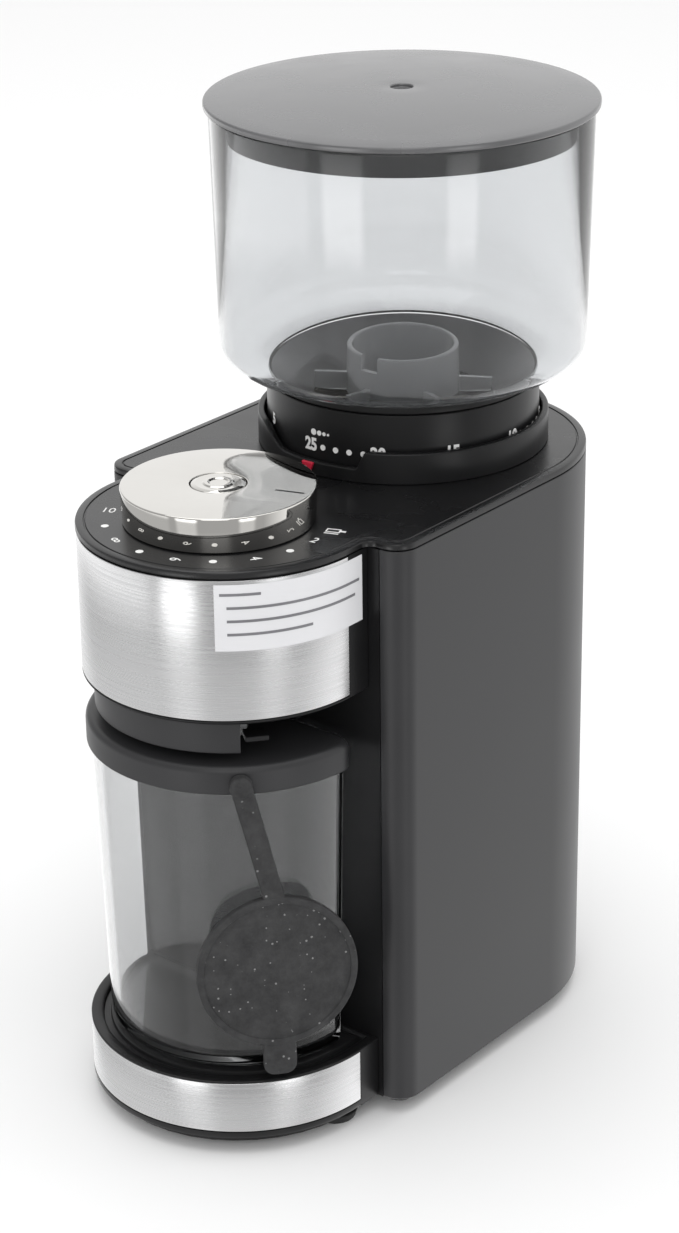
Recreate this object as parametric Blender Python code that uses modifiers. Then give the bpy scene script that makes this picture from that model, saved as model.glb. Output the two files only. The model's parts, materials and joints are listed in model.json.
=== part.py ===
"""Upright burr coffee grinder, modelled as its separate pieces.

Metres, +Z up. The origin is on the table under the middle of the object, -Y is the front with the
timer dial and the grounds jar, and the burrs, the setting ring and the hopper share one upright axis.
"""

import math

import bmesh
import bpy
from mathutils import Matrix, Vector

ROUND = 28          # steps round an ordinary turned piece
FINE_ROUND = 40     # steps round the large visible pieces
GAP = 0.0003        # between pieces that touch

# Upright axes, as (x, y)
BURR_AXIS = (0.0, 0.0360)
MOTOR_AXIS = (0.0, -0.0020)
HEAD_AXIS = (0.0, -0.0485)
DIAL_AXIS = (0.0, -0.0525)

# Column, seen from above
HALF_WIDTH = 0.0570
COLUMN_FRONT = -0.0397
COLUMN_BACK = 0.0884
FRONT_CORNER = 0.0072
BACK_CORNER = 0.0506
SEAM_X = 0.0490
WALL = 0.0024

FOOT_X = 0.038
FOOT_Y = {"front": -0.050, "rear": 0.060}
SCREW_X = 0.046
SCREW_Y = {"front": -0.022, "rear": 0.040}
SHELL_WALL = 0.0030
GLAND_Z = 0.020
GLAND_BORE_R = 0.0032

# Heights
FOOT_TOP = 0.0027
COVER_BOTTOM = 0.0030
COVER_TOP = 0.0047
HOUSING_BOTTOM = 0.0050
HOUSING_TOP = 0.1876
TOP_BOTTOM = 0.1879
TOP_SURFACE = 0.1900

# Base and head, which are round at the front
BASE_R = 0.0471
BASE_BOTTOM = 0.0056
DECK_BOTTOM = 0.0226
DECK_TOP = 0.0255
HEAD_R = 0.0447
HEAD_BOTTOM = 0.1427
BAND_DEPTH = 0.0008
BASE_BAND = (0.0080, 0.0248)
HEAD_BAND = (0.1440, 0.1876)
SKIRT_R = 0.0415
SKIRT_WALL = 0.0022
SKIRT_BOTTOM = 0.1320
SKIRT_END_DEG = 43.0

# Setting ring and its collar
COLLAR_R = 0.0451
COLLAR_BORE = 0.0430
COLLAR_TOP = 0.1999
WINDOW_SILL = 0.1945
WINDOW_DEG = (-30.0, 22.5)
RING_R = 0.0423
RING_BOTTOM = 0.1876
RING_TOP = 0.2110
POINTER_DEG = -1.7

# Hopper and lid
NECK_TOP = 0.2136
SEAT_R = 0.0412
HOPPER_FLOOR = 0.2139
HOPPER_LOW_R = 0.0565
HOPPER_TOP_R = 0.0580
HOPPER_TOP = 0.2947
LID_R = 0.0595
LID_BOTTOM = 0.2950
LID_CROWN = 0.3000
GUARD_R = 0.0174
GUARD_TOP = 0.2196
GUARD_BOTTOM = 0.2045
PLUG_R = 0.0550
PLUG_WALL = 0.0023
PLUG_BOTTOM = 0.2869
THROAT_R = 0.0280

# Dial
KNOB_R = 0.0288
KNOB_BOTTOM = 0.1903
KNOB_TOP = 0.2009
BUTTON_R = 0.0082
BUTTON_TOP = 0.2014
BUTTON_SKIRT_BOTTOM = 0.1984
STEM_R = 0.0031
STEM_BOTTOM = 0.1733
HUB_R = 0.0055
HUB_BORE_R = 0.0035
HUB_BOTTOM = 0.1830

# Jar, seen from above: a half circle with a flat back
JAR_TOP_R = 0.0430
JAR_LOW_R = 0.0406
JAR_BACK = -0.0470
JAR_CORNER = 0.0045
JAR_BOTTOM = 0.0259
JAR_TOP = 0.1270
JAR_WALL = 0.0022
JAR_LID_R = 0.0445
JAR_LID_BOTTOM = 0.1203
JAR_LID_TOP = 0.1290
OPENING_R = 0.0180
OPENING_Y = -0.0680

# Silicone cap of the jar
ANCHOR_DEG = 42.5
STUD_Z = 0.1237
STUD_R = 0.0037
STUD_REACH = (0.0449, 0.0480)
STRAP_OUT = 0.0464
CAP_DEG = 54.0
CAP_FACE_DEG = 50.0
CAP_LEAN_DEG = 3.0
CAP_OUT = 0.0463
CAP_Z = 0.0624
CAP_R = 0.0242
CAP_THICK = 0.0026
STRAP_WIDTH = 0.0062
STRAP_THICK = 0.0020
HINGE_Z = STUD_Z - STUD_R - GAP - STRAP_THICK / 2
TAB_LENGTH = 0.0100
TAB_HALF_WIDTH = 0.0048

# Gear train: tooth counts, modules and levels
PINION_TEETH = 12
WHEEL_TEETH = 48
FIRST_MODULE = 0.0008
SECOND_MODULE = 0.0010
FIRST_LEVEL = (0.1165, 0.1235)
SECOND_LEVEL = (0.1260, 0.1350)
GEARBOX_BOTTOM = 0.1110
GEARBOX_TOP = 0.1420

COLOURS = {
    "black_plastic": ((0.020, 0.020, 0.021), 0.38, 0.0),
    "grey_plastic": ((0.075, 0.076, 0.080), 0.45, 0.0),
    "brushed_steel": ((0.62, 0.61, 0.60), 0.32, 1.0),
    "chrome": ((0.80, 0.79, 0.77), 0.06, 1.0),
    "smoke_clear": ((0.70, 0.72, 0.74), 0.05, 0.0),
    "rubber": ((0.025, 0.025, 0.025), 0.85, 0.0),
    "silicone": ((0.050, 0.050, 0.052), 0.80, 0.0),
    "red_plastic": ((0.60, 0.03, 0.06), 0.40, 0.0),
    "die_cast": ((0.45, 0.45, 0.46), 0.50, 1.0),
    "tool_steel": ((0.30, 0.30, 0.31), 0.35, 1.0),
    "nylon": ((0.80, 0.79, 0.74), 0.55, 0.0),
    "bronze": ((0.55, 0.36, 0.16), 0.40, 1.0),
    "circuit_board": ((0.02, 0.16, 0.07), 0.60, 0.0),
}


def clear_scene():
    """Remove everything that the startup scene holds."""
    for item in list(bpy.data.objects):
        bpy.data.objects.remove(item, do_unlink=True)


clear_scene()
PARTS = bpy.data.collections.new("burr_coffee_grinder")
CUTTERS = bpy.data.collections.new("cutters")
bpy.context.scene.collection.children.link(PARTS)
bpy.context.scene.collection.children.link(CUTTERS)
CUTTERS.hide_render = True


# ---------------------------------------------------------------- helpers

def finish_for(name, slot):
    """A Principled material for one part, from the table of finishes."""
    colour, roughness, metallic = COLOURS[slot]
    material = bpy.data.materials.new(f"{name}_finish")
    material.use_nodes = True
    shader = material.node_tree.nodes["Principled BSDF"]
    shader.inputs["Base Color"].default_value = (*colour, 1.0)
    shader.inputs["Roughness"].default_value = roughness
    shader.inputs["Metallic"].default_value = metallic
    return material


def place(name, data, slot, location=(0.0, 0.0, 0.0), pivot=None):
    """Link a mesh or curve as a part, or as a cutter when slot is None.

    location is in the world; pivot is the empty that the part turns or slides with.
    """
    item = bpy.data.objects.new(name, data)
    if slot is None:
        CUTTERS.objects.link(item)
        item.hide_render = True
        item.display_type = "WIRE"
    else:
        PARTS.objects.link(item)
        data.materials.append(finish_for(name, slot))
    item.location = Vector(location)
    if pivot is not None:
        item.parent = pivot
        item.location = Vector(location) - pivot.location
    return item


def pivot_at(name, location):
    """An empty on a joint's axis."""
    empty = bpy.data.objects.new(name, None)
    empty.empty_display_size = 0.01
    empty.location = location
    PARTS.objects.link(empty)
    return empty


def mesh_from(name, bm):
    """Close a bmesh into a mesh with its faces pointing out."""
    bmesh.ops.recalc_face_normals(bm, faces=bm.faces)
    mesh = bpy.data.meshes.new(name)
    bm.to_mesh(mesh)
    bm.free()
    return mesh


def lofted(name, sections, slot, pivot=None):
    """A solid through rings of points with the same number of points in each."""
    bm = bmesh.new()
    rings = [[bm.verts.new(point) for point in section] for section in sections]
    for lower, upper in zip(rings, rings[1:]):
        for i in range(len(lower)):
            j = (i + 1) % len(lower)
            bm.faces.new((lower[i], lower[j], upper[j], upper[i]))
    bm.faces.new(rings[0])
    bm.faces.new(rings[-1])
    mesh = mesh_from(name, bm)
    if pivot is not None:
        mesh.transform(pivot.matrix_basis.inverted())
        return place(name, mesh, slot, pivot.location, pivot)
    return place(name, mesh, slot)


def prism(name, outline, bottom, top, slot, holes=(), pivot=None):
    """An upright prism of a flat outline, with holes through it, from a filled 2D curve."""
    curve = bpy.data.curves.new(name, "CURVE")
    curve.dimensions = "2D"
    curve.fill_mode = "BOTH"
    curve.extrude = (top - bottom) / 2
    for loop in (outline, *holes):
        spline = curve.splines.new("POLY")
        spline.points.add(len(loop) - 1)
        for point, (x, y) in zip(spline.points, loop):
            point.co = (x, y, 0.0, 1.0)
        spline.use_cyclic_u = True
    source = bpy.data.objects.new(name, curve)
    PARTS.objects.link(source)
    graph = bpy.context.evaluated_depsgraph_get()
    graph.update()
    mesh = bpy.data.meshes.new_from_object(source.evaluated_get(graph))
    bpy.data.objects.remove(source)
    bm = bmesh.new()
    bm.from_mesh(mesh)
    bmesh.ops.remove_doubles(bm, verts=bm.verts, dist=1e-6)
    mesh = mesh_from(name, bm)
    mesh.transform(Matrix.Translation((0.0, 0.0, (top + bottom) / 2)))
    if pivot is not None:
        mesh.transform(pivot.matrix_basis.inverted())
        return place(name, mesh, slot, pivot.location, pivot)
    return place(name, mesh, slot)


def turned(name, profile, axis, slot, steps=ROUND, pivot=None):
    """A turned piece from a closed profile of (radius, height) points, listed down its outer side."""
    mesh = bpy.data.meshes.new(name)
    points = [(radius, 0.0, height) for radius, height in profile]
    edges = [(i, (i + 1) % len(points)) for i in range(len(points))]
    on_axis = [i for i, (radius, _) in enumerate(profile) if radius == 0.0]
    if on_axis:
        edges = [edge for edge in edges if not (edge[0] in on_axis and edge[1] in on_axis)]
    mesh.from_pydata(points, edges, [])
    item = place(name, mesh, slot, (*axis, 0.0), pivot)
    screw = item.modifiers.new("turn", "SCREW")
    screw.steps = screw.render_steps = steps
    screw.use_merge_vertices = True
    screw.merge_threshold = 1e-5
    return item


def boxed(name, low, high, slot, pivot=None, bevel=0.0):
    """A box between two corners, with rounded edges where bevel is given."""
    bm = bmesh.new()
    bmesh.ops.create_cube(bm, size=1.0)
    size = Vector(high) - Vector(low)
    bmesh.ops.scale(bm, vec=size, verts=bm.verts)
    item = place(name, mesh_from(name, bm), slot, (Vector(high) + Vector(low)) / 2, pivot)
    if bevel:
        rounding = item.modifiers.new("rounding", "BEVEL")
        rounding.width = bevel
        rounding.segments = 2
    return item


def rod(name, start, end, radius, slot, steps=24, pivot=None):
    """A cylinder between two points."""
    start, end = Vector(start), Vector(end)
    bm = bmesh.new()
    bmesh.ops.create_cone(bm, cap_ends=True, segments=steps, radius1=radius, radius2=radius,
                          depth=(end - start).length)
    turn = (end - start).to_track_quat("Z", "Y").to_matrix()
    bmesh.ops.rotate(bm, matrix=turn, verts=bm.verts)
    return place(name, mesh_from(name, bm), slot, (start + end) / 2, pivot)


def combine(item, other, operation):
    """A Boolean of item with another solid."""
    boolean = item.modifiers.new(f"{operation.lower()}_{other.name}", "BOOLEAN")
    boolean.operation = operation
    boolean.solver = "EXACT"
    boolean.object = other
    return item


def cut(item, *cutters):
    """Take each cutter out of item."""
    for cutter in cutters:
        combine(item, cutter, "DIFFERENCE")
    return item


def join(item, *others):
    """Join each of the others to item."""
    for other in others:
        combine(item, other, "UNION")
    return item


# ---------------------------------------------------------------- outlines

def arc(centre, radius, start_deg, end_deg, steps):
    """Points along an arc, both ends included."""
    angles = [math.radians(start_deg + (end_deg - start_deg) * i / steps) for i in range(steps + 1)]
    return [(centre[0] + radius * math.cos(a), centre[1] + radius * math.sin(a)) for a in angles]


def circle(centre, radius, steps=ROUND):
    """Points round a circle."""
    return arc(centre, radius, 0.0, 360.0 * (steps - 1) / steps, steps - 1)


def around_head(radius, degrees, height):
    """A point at an angle from straight ahead, towards +X, on a circle round the head's axis."""
    angle = math.radians(degrees)
    return Vector((HEAD_AXIS[0] + radius * math.sin(angle), HEAD_AXIS[1] - radius * math.cos(angle), height))


def column_side(inset):
    """The column's outline from its front right corner round the back to its front left corner."""
    half, back = HALF_WIDTH - inset, COLUMN_BACK - inset
    front = COLUMN_FRONT + inset
    small, large = FRONT_CORNER - inset, BACK_CORNER - inset
    right_front = (half - small, front + small)
    left_front = (small - half, front + small)
    right_back = (half - large, back - large)
    left_back = (large - half, back - large)
    return (arc(right_front, small, -90, 0, 4) + arc(right_back, large, 0, 90, 10)
            + arc(left_back, large, 90, 180, 10) + arc(left_front, small, 180, 270, 4))


def nose(radius, back):
    """A half circle round the head's axis with straight sides back to y = back, right side last."""
    left = (HEAD_AXIS[0] - radius, back)
    right = (HEAD_AXIS[0] + radius, back)
    return [left] + arc(HEAD_AXIS, radius, 180, 360, FINE_ROUND // 2) + [right]


def whole_plan(column_inset, nose_radius):
    """The column and the rounded front together."""
    return nose(nose_radius, COLUMN_FRONT + column_inset) + column_side(column_inset)


def jar_plan(radius, back, corner):
    """The jar's flat-backed outline."""
    rise = back - corner - HEAD_AXIS[1]
    side = math.sqrt((radius - corner) ** 2 - rise ** 2)
    tilt = math.degrees(math.atan2(rise, side))
    return (arc(HEAD_AXIS, radius, 180 - tilt, 360 + tilt, 26)
            + arc((side, back - corner), corner, tilt, 90, 4)[1:]
            + arc((-side, back - corner), corner, 90, 180 - tilt, 4)[:-1])


def half_ring(outer, inner, start_deg, end_deg, steps):
    """Part of a ring round the head's axis; angles are from straight ahead towards +X."""
    out = arc(HEAD_AXIS, outer, start_deg - 90, end_deg - 90, steps)
    back = arc(HEAD_AXIS, inner, end_deg - 90, start_deg - 90, steps)
    return out + back


def gear_outline(teeth, module, centre, turn_deg=0.0):
    """A toothed outline with straight flanks and running clearance."""
    pitch = teeth * module / 2
    radii = (pitch - 1.15 * module, pitch + 0.90 * module)
    widths = (0.64, 0.20)
    points = []
    for tooth in range(teeth):
        middle = math.radians(turn_deg) + 2 * math.pi * tooth / teeth
        step = 2 * math.pi / teeth
        flank = [(radii[0], -widths[0] / 2), (radii[1], -widths[1] / 2),
                 (radii[1], widths[1] / 2), (radii[0], widths[0] / 2)]
        for radius, share in flank:
            angle = middle + share * step
            points.append((centre[0] + radius * math.cos(angle), centre[1] + radius * math.sin(angle)))
    return points


# ---------------------------------------------------------------- base

def build_base():
    """The bottom cover, its feet and screws, and the round-fronted tray that the jar stands on."""
    holes = [circle((x, y), 0.0019, 16) for x in (-SCREW_X, SCREW_X) for y in SCREW_Y.values()]
    prism("base_cover", whole_plan(SHELL_WALL, BASE_R - SHELL_WALL), COVER_BOTTOM, COVER_TOP,
          "black_plastic", holes=holes)

    for end, y in FOOT_Y.items():
        for side, x in (("left", -FOOT_X), ("right", FOOT_X)):
            turned(f"foot_{end}_{side}",
                   [(0.0, FOOT_TOP), (0.0070, FOOT_TOP), (0.0062, 0.0), (0.0, 0.0)],
                   (x, y), "rubber", 24)

    screw_profile = [(0.0, 0.0158), (0.0012, 0.0158), (0.0015, 0.0145), (0.0015, 0.0027),
                     (0.0028, 0.0027), (0.0026, 0.0014), (0.0, 0.0014)]
    for end, y in SCREW_Y.items():
        for side, x in (("left", -SCREW_X), ("right", SCREW_X)):
            turned(f"base_screw_{end}_{side}", screw_profile, (x, y), "tool_steel", 12)

    back = COLUMN_FRONT - GAP
    tray = prism("base_tray", nose(BASE_R, back), BASE_BOTTOM, DECK_TOP, "black_plastic")
    hollow = prism("base_hollow", nose(BASE_R - SHELL_WALL, back + 0.01), 0.0, DECK_BOTTOM, None)
    groove = prism("base_groove", half_ring(BASE_R + 0.004, BASE_R - BAND_DEPTH, -90, 90, 40),
                   BASE_BAND[0] - GAP, BASE_BAND[1] + GAP, None)
    cut(tray, hollow, groove)
    prism("base_trim_band", half_ring(BASE_R, BASE_R - BAND_DEPTH + GAP, -89.6, 89.6, 40),
          *BASE_BAND, "brushed_steel")


# ---------------------------------------------------------------- column

def build_column():
    """The wrap-round housing with its screw bosses, the front panel, the top cover and the gland."""
    front_y = COLUMN_FRONT
    outer = [(SEAM_X, front_y)] + column_side(0.0) + [(-SEAM_X, front_y)]
    inner = [(-SEAM_X, front_y + WALL)] + column_side(WALL)[::-1] + [(SEAM_X, front_y + WALL)]
    housing = prism("rear_housing", outer + inner, HOUSING_BOTTOM, HOUSING_TOP, "grey_plastic")
    for y in SCREW_Y.values():
        for side in (-1, 1):
            low, high = sorted((side * 0.0415, side * 0.0555))
            boss = boxed(f"boss_{side}_{y}", (low, y - 0.004, 0.0052), (high, y + 0.004, 0.022), None)
            hole = rod(f"boss_hole_{side}_{y}", (side * SCREW_X, y, 0.0), (side * SCREW_X, y, 0.018),
                       0.0019, None, 16)
            join(housing, boss)
            cut(housing, hole)
    gland_hole = rod("gland_hole", (0.0, 0.080, GLAND_Z), (0.0, 0.095, GLAND_Z), 0.0053, None)
    cut(housing, gland_hole)

    panel = boxed("front_panel", (-SEAM_X + GAP, front_y, HOUSING_BOTTOM),
                  (SEAM_X - GAP, front_y + WALL, HOUSING_TOP), "black_plastic")
    cut(panel, boxed("chute_window", (-0.0125, -0.05, 0.1490), (0.0125, -0.03, 0.1680), None))

    prism("top_cover", whole_plan(0.0, HEAD_R + 0.0002), TOP_BOTTOM, TOP_SURFACE, "black_plastic",
          holes=(circle(BURR_AXIS, COLLAR_BORE, FINE_ROUND), circle(DIAL_AXIS, 0.0070, 24)))

    bore, groove, flange = GLAND_BORE_R, 0.0049, 0.0072
    profile = [(bore, 0.0023), (0.0074, 0.0015), (0.0074, 0.0), (groove, 0.0), (groove, -0.0033),
               (flange, -0.0033), (flange, -0.0053), (bore, -0.0053)]
    gland = turned("cord_gland", profile, (0.0, 0.0), "rubber", 16)
    gland.location = (0.0, COLUMN_BACK + GAP, GLAND_Z)
    gland.rotation_euler = (math.radians(-90), 0.0, 0.0)


# ---------------------------------------------------------------- head

def build_head():
    """The round-fronted head with its steel band, the outlet skirt and the grounds chute."""
    back = COLUMN_FRONT - GAP
    shell = prism("head_shell", nose(HEAD_R, back), HEAD_BOTTOM, HOUSING_TOP, "black_plastic")
    hollow = prism("head_hollow", nose(HEAD_R - SHELL_WALL, back + 0.01), HEAD_BOTTOM + 0.0024,
                   HOUSING_TOP + 0.01, None)
    groove = prism("head_groove", half_ring(HEAD_R + 0.004, HEAD_R - BAND_DEPTH, -90, 90, 40),
                   HEAD_BAND[0] - GAP, HEAD_BAND[1] + 0.01, None)
    outlet = boxed("head_outlet", (-0.0110, -0.0775, 0.13), (0.0110, -0.0585, 0.15), None)
    cut(shell, hollow, groove, outlet)
    prism("head_trim_band", half_ring(HEAD_R, HEAD_R - BAND_DEPTH + GAP, -89.6, 89.6, 40),
          HEAD_BAND[0], HEAD_BAND[1] - GAP, "brushed_steel")

    wall = half_ring(SKIRT_R, SKIRT_R - SKIRT_WALL, -90, SKIRT_END_DEG, 32)
    prism("head_skirt", wall, SKIRT_BOTTOM, HEAD_BOTTOM - GAP, "black_plastic")

    outer = [(-0.0004, 0.1655), (-0.0004, 0.1545), (-0.0590, 0.1500), (-0.0590, 0.1335),
             (-0.0770, 0.1335), (-0.0770, 0.1600), (-0.0720, 0.1655)]
    inner = [(0.0100, 0.1640), (0.0100, 0.1570), (-0.0605, 0.1515), (-0.0605, 0.1200),
             (-0.0755, 0.1200), (-0.0755, 0.1595), (-0.0715, 0.1640)]
    chute = lofted("grounds_chute", [[(x, y, z) for y, z in outer] for x in (-0.0105, 0.0105)],
                   "black_plastic")
    cut(chute, lofted("chute_bore", [[(x, y, z) for y, z in inner] for x in (-0.0090, 0.0090)], None))


# ---------------------------------------------------------------- controls

def build_controls():
    """The timer dial, its start button, the boards and switches, and the levers that press them."""
    dial = pivot_at("dial_axis", (*DIAL_AXIS, 0.0))
    well_r, well_bottom, underside = BUTTON_R + GAP, 0.1965, KNOB_TOP - 0.0025
    knob = [(well_r, KNOB_TOP), (KNOB_R - 0.0006, KNOB_TOP), (KNOB_R, KNOB_TOP - 0.0006),
            (KNOB_R - 0.0004, KNOB_BOTTOM), (KNOB_R - 0.0024, KNOB_BOTTOM),
            (KNOB_R - 0.0022, underside), (0.0105, underside), (0.0105, KNOB_BOTTOM + GAP),
            (HUB_R, KNOB_BOTTOM + GAP), (HUB_R, HUB_BOTTOM), (HUB_BORE_R, HUB_BOTTOM),
            (HUB_BORE_R, well_bottom), (well_r, well_bottom)]
    turned("dial_knob", knob, DIAL_AXIS, "chrome", FINE_ROUND, dial)

    button = pivot_at("button_axis", (*DIAL_AXIS, 0.0))
    stem = [(0.0, BUTTON_TOP), (BUTTON_R - 0.0008, BUTTON_TOP - 0.0002), (BUTTON_R, BUTTON_TOP - 0.0008),
            (BUTTON_R, BUTTON_SKIRT_BOTTOM), (STEM_R, BUTTON_SKIRT_BOTTOM), (STEM_R, STEM_BOTTOM),
            (0.0, STEM_BOTTOM)]
    turned("start_button", stem, DIAL_AXIS, "chrome", 32, button)

    x, y = DIAL_AXIS
    encoder = boxed("timer_encoder", (x - 0.009, y - 0.009, 0.1760), (x + 0.009, y + 0.009, 0.1825),
                    "nylon")
    cut(encoder, rod("encoder_bore", (x, y, 0.170), (x, y, 0.190), 0.0036, None))
    boxed("start_switch", (x - 0.004, y - 0.004, 0.1679), (x + 0.004, y + 0.004, 0.1714), "black_plastic")
    boxed("control_board", (-0.026, -0.0780, 0.1660), (0.026, -0.0430, 0.1676), "circuit_board")
    boxed("power_board", (-0.030, 0.0700, 0.030), (0.030, 0.0716, 0.100), "circuit_board")

    boxed("interlock_switch", (-0.0480, 0.030, 0.172), (-0.0380, 0.042, 0.182), "black_plastic")
    plunger = pivot_at("plunger_axis", (-0.0405, 0.036, 0.0))
    turned("interlock_plunger", [(0.0, 0.1871), (0.0012, 0.1871), (0.0015, 0.1866), (0.0015, 0.1843),
                                 (0.0, 0.1843)], (-0.0405, 0.036), "nylon", 16, plunger)

    hinge = pivot_at("lever_axis", around_head(0.0345, 50.0, 0.1360))
    hinge.rotation_euler = (0.0, 0.0, math.radians(50.0))
    lever = boxed("switch_lever", (-0.0035, -0.0062, -0.0008), (0.0035, 0.0, 0.0008), "black_plastic",
                  bevel=0.0003)
    lever.parent = hinge
    lever.location = (0.0, -0.0031, 0.0)


# ---------------------------------------------------------------- drive

def build_motor():
    """The motor's can, end cap and magnets, and the armature with its pinion."""
    turned("motor_can", [(0.0290, 0.1080), (0.0290, 0.0220), (0.0270, 0.0220), (0.0270, 0.1060),
                         (0.0040, 0.1060), (0.0040, 0.1080)], MOTOR_AXIS, "tool_steel")
    turned("motor_end_cap", [(0.0, 0.0217), (0.0290, 0.0217), (0.0285, 0.0170), (0.0120, 0.0160),
                             (0.0110, 0.0130), (0.0, 0.0130)], MOTOR_AXIS, "black_plastic")
    turned("field_magnets", [(0.0267, 0.0900), (0.0267, 0.0400), (0.0215, 0.0400), (0.0215, 0.0900)],
           MOTOR_AXIS, "die_cast")
    spin = pivot_at("motor_axis", (*MOTOR_AXIS, 0.0))
    shaft = 0.0024
    armature = [(0.0, 0.1240), (shaft, 0.1240), (shaft, 0.0920), (0.0120, 0.0920), (0.0120, 0.0860),
                (0.0205, 0.0860), (0.0205, 0.0440), (0.0100, 0.0440), (0.0100, 0.0320),
                (shaft, 0.0320), (shaft, 0.0230), (0.0, 0.0230)]
    turned("motor_armature", armature, MOTOR_AXIS, "bronze", 32, spin)
    prism("motor_pinion", gear_outline(PINION_TEETH, FIRST_MODULE, MOTOR_AXIS, first_turn()),
          FIRST_LEVEL[0] - 0.0005, FIRST_LEVEL[1] + 0.0003, "tool_steel",
          holes=(circle(MOTOR_AXIS, shaft + 0.0003, 20),), pivot=spin)


def idler_axis():
    """Where the idler stands so that both of its gears are in mesh."""
    first = (PINION_TEETH + WHEEL_TEETH) * FIRST_MODULE / 2
    second = (PINION_TEETH + WHEEL_TEETH) * SECOND_MODULE / 2
    apart = BURR_AXIS[1] - MOTOR_AXIS[1]
    along = (first ** 2 - second ** 2 + apart ** 2) / (2 * apart)
    return (math.sqrt(first ** 2 - along ** 2), MOTOR_AXIS[1] + along)


def direction_deg(start, end):
    """The direction from one axis to another, in degrees from +X."""
    return math.degrees(math.atan2(end[1] - start[1], end[0] - start[0]))


def first_turn():
    """The pinion's turn that puts one of its teeth on the line to the idler."""
    return direction_deg(MOTOR_AXIS, idler_axis())


def build_gears():
    """The gearbox with its idler, the output wheel and the bearings of the burr shaft."""
    idler = idler_axis()
    low, high = (-0.036, -0.026), (0.046, 0.066)
    radius = 0.012
    corners = [((high[0] - radius, low[1] + radius), -90), ((high[0] - radius, high[1] - radius), 0),
               ((low[0] + radius, high[1] - radius), 90), ((low[0] + radius, low[1] + radius), 180)]
    outline = [p for centre, start in corners for p in arc(centre, radius, start, start + 90, 5)]
    hollow = [p for centre, start in corners for p in arc(centre, radius - 0.0025, start, start + 90, 5)]
    case = prism("gearbox_case", outline, GEARBOX_BOTTOM, GEARBOX_TOP, "nylon",
                 holes=(circle(MOTOR_AXIS, 0.0035, 20),))
    cut(case, prism("gearbox_hollow", hollow, GEARBOX_BOTTOM + 0.0026, GEARBOX_TOP + 0.01, None))
    cover = prism("gearbox_cover", outline, GEARBOX_TOP + GAP, GEARBOX_TOP + 0.0033, "nylon",
                  holes=(circle(BURR_AXIS, 0.0113, 32),))
    join(cover, prism("bearing_boss", circle(BURR_AXIS, 0.0140), GEARBOX_TOP + 0.0010,
                      GEARBOX_TOP + 0.0085, None, holes=(circle(BURR_AXIS, 0.0113, 32),)))

    turned("upper_bearing", [(0.0110, 0.1500), (0.0110, 0.1430), (0.0043, 0.1430), (0.0043, 0.1500)],
           BURR_AXIS, "tool_steel")
    turned("lower_bush", [(0.0080, 0.1220), (0.0080, 0.1140), (0.0043, 0.1140), (0.0043, 0.1220)],
           BURR_AXIS, "bronze")
    turned("idler_pin", [(0.0, 0.1415), (0.0018, 0.1415), (0.0018, 0.1139), (0.0, 0.1139)],
           idler, "tool_steel", 16)

    # A gap between two teeth of each wheel meets a tooth of its pinion.
    spin = pivot_at("idler_axis", (*idler, 0.0))
    pitch_deg = 360.0 / WHEEL_TEETH
    bore = circle(idler, 0.0021, 20)
    wheel = prism("idler_gear", gear_outline(WHEEL_TEETH, FIRST_MODULE, idler,
                                             direction_deg(idler, MOTOR_AXIS) + pitch_deg / 2),
                  *FIRST_LEVEL, "nylon", holes=(bore,), pivot=spin)
    pinion = prism("idler_pinion", gear_outline(PINION_TEETH, SECOND_MODULE, idler,
                                                direction_deg(idler, BURR_AXIS)),
                   FIRST_LEVEL[0] + 0.002, SECOND_LEVEL[1] + 0.0005, None, holes=(bore,))
    join(wheel, pinion)

    burrs = pivot_at("burr_axis", (*BURR_AXIS, 0.0))
    prism("output_gear", gear_outline(WHEEL_TEETH, SECOND_MODULE, BURR_AXIS,
                                      direction_deg(BURR_AXIS, idler) + pitch_deg / 2),
          *SECOND_LEVEL, "nylon", holes=(circle(BURR_AXIS, 0.0043, 24),), pivot=burrs)
    return burrs


# ---------------------------------------------------------------- burrs

def fluted(levels, teeth, depth, sweep_deg, axis):
    """A ring of rings whose radius rises and falls round it, sweeping as it climbs."""
    sections = []
    for step, (radius, height) in enumerate(levels):
        turn = math.radians(sweep_deg * step / (len(levels) - 1))
        ring = []
        for i in range(teeth * 2):
            angle = math.pi * i / teeth + turn
            reach = radius + (depth if i % 2 else 0.0)
            ring.append((axis[0] + reach * math.cos(angle), axis[1] + reach * math.sin(angle), height))
        sections.append(ring)
    return sections


def blade_outline(turn_deg, near, far, half_width):
    """The plan of a straight blade that points out from the burrs' axis."""
    angle = math.radians(turn_deg)
    reach = Vector((math.cos(angle), math.sin(angle)))
    side = Vector((-reach.y, reach.x)) * half_width
    foot, tip = Vector(BURR_AXIS) + reach * near, Vector(BURR_AXIS) + reach * far
    return [foot + side, foot - side, tip - side, tip + side]


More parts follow.
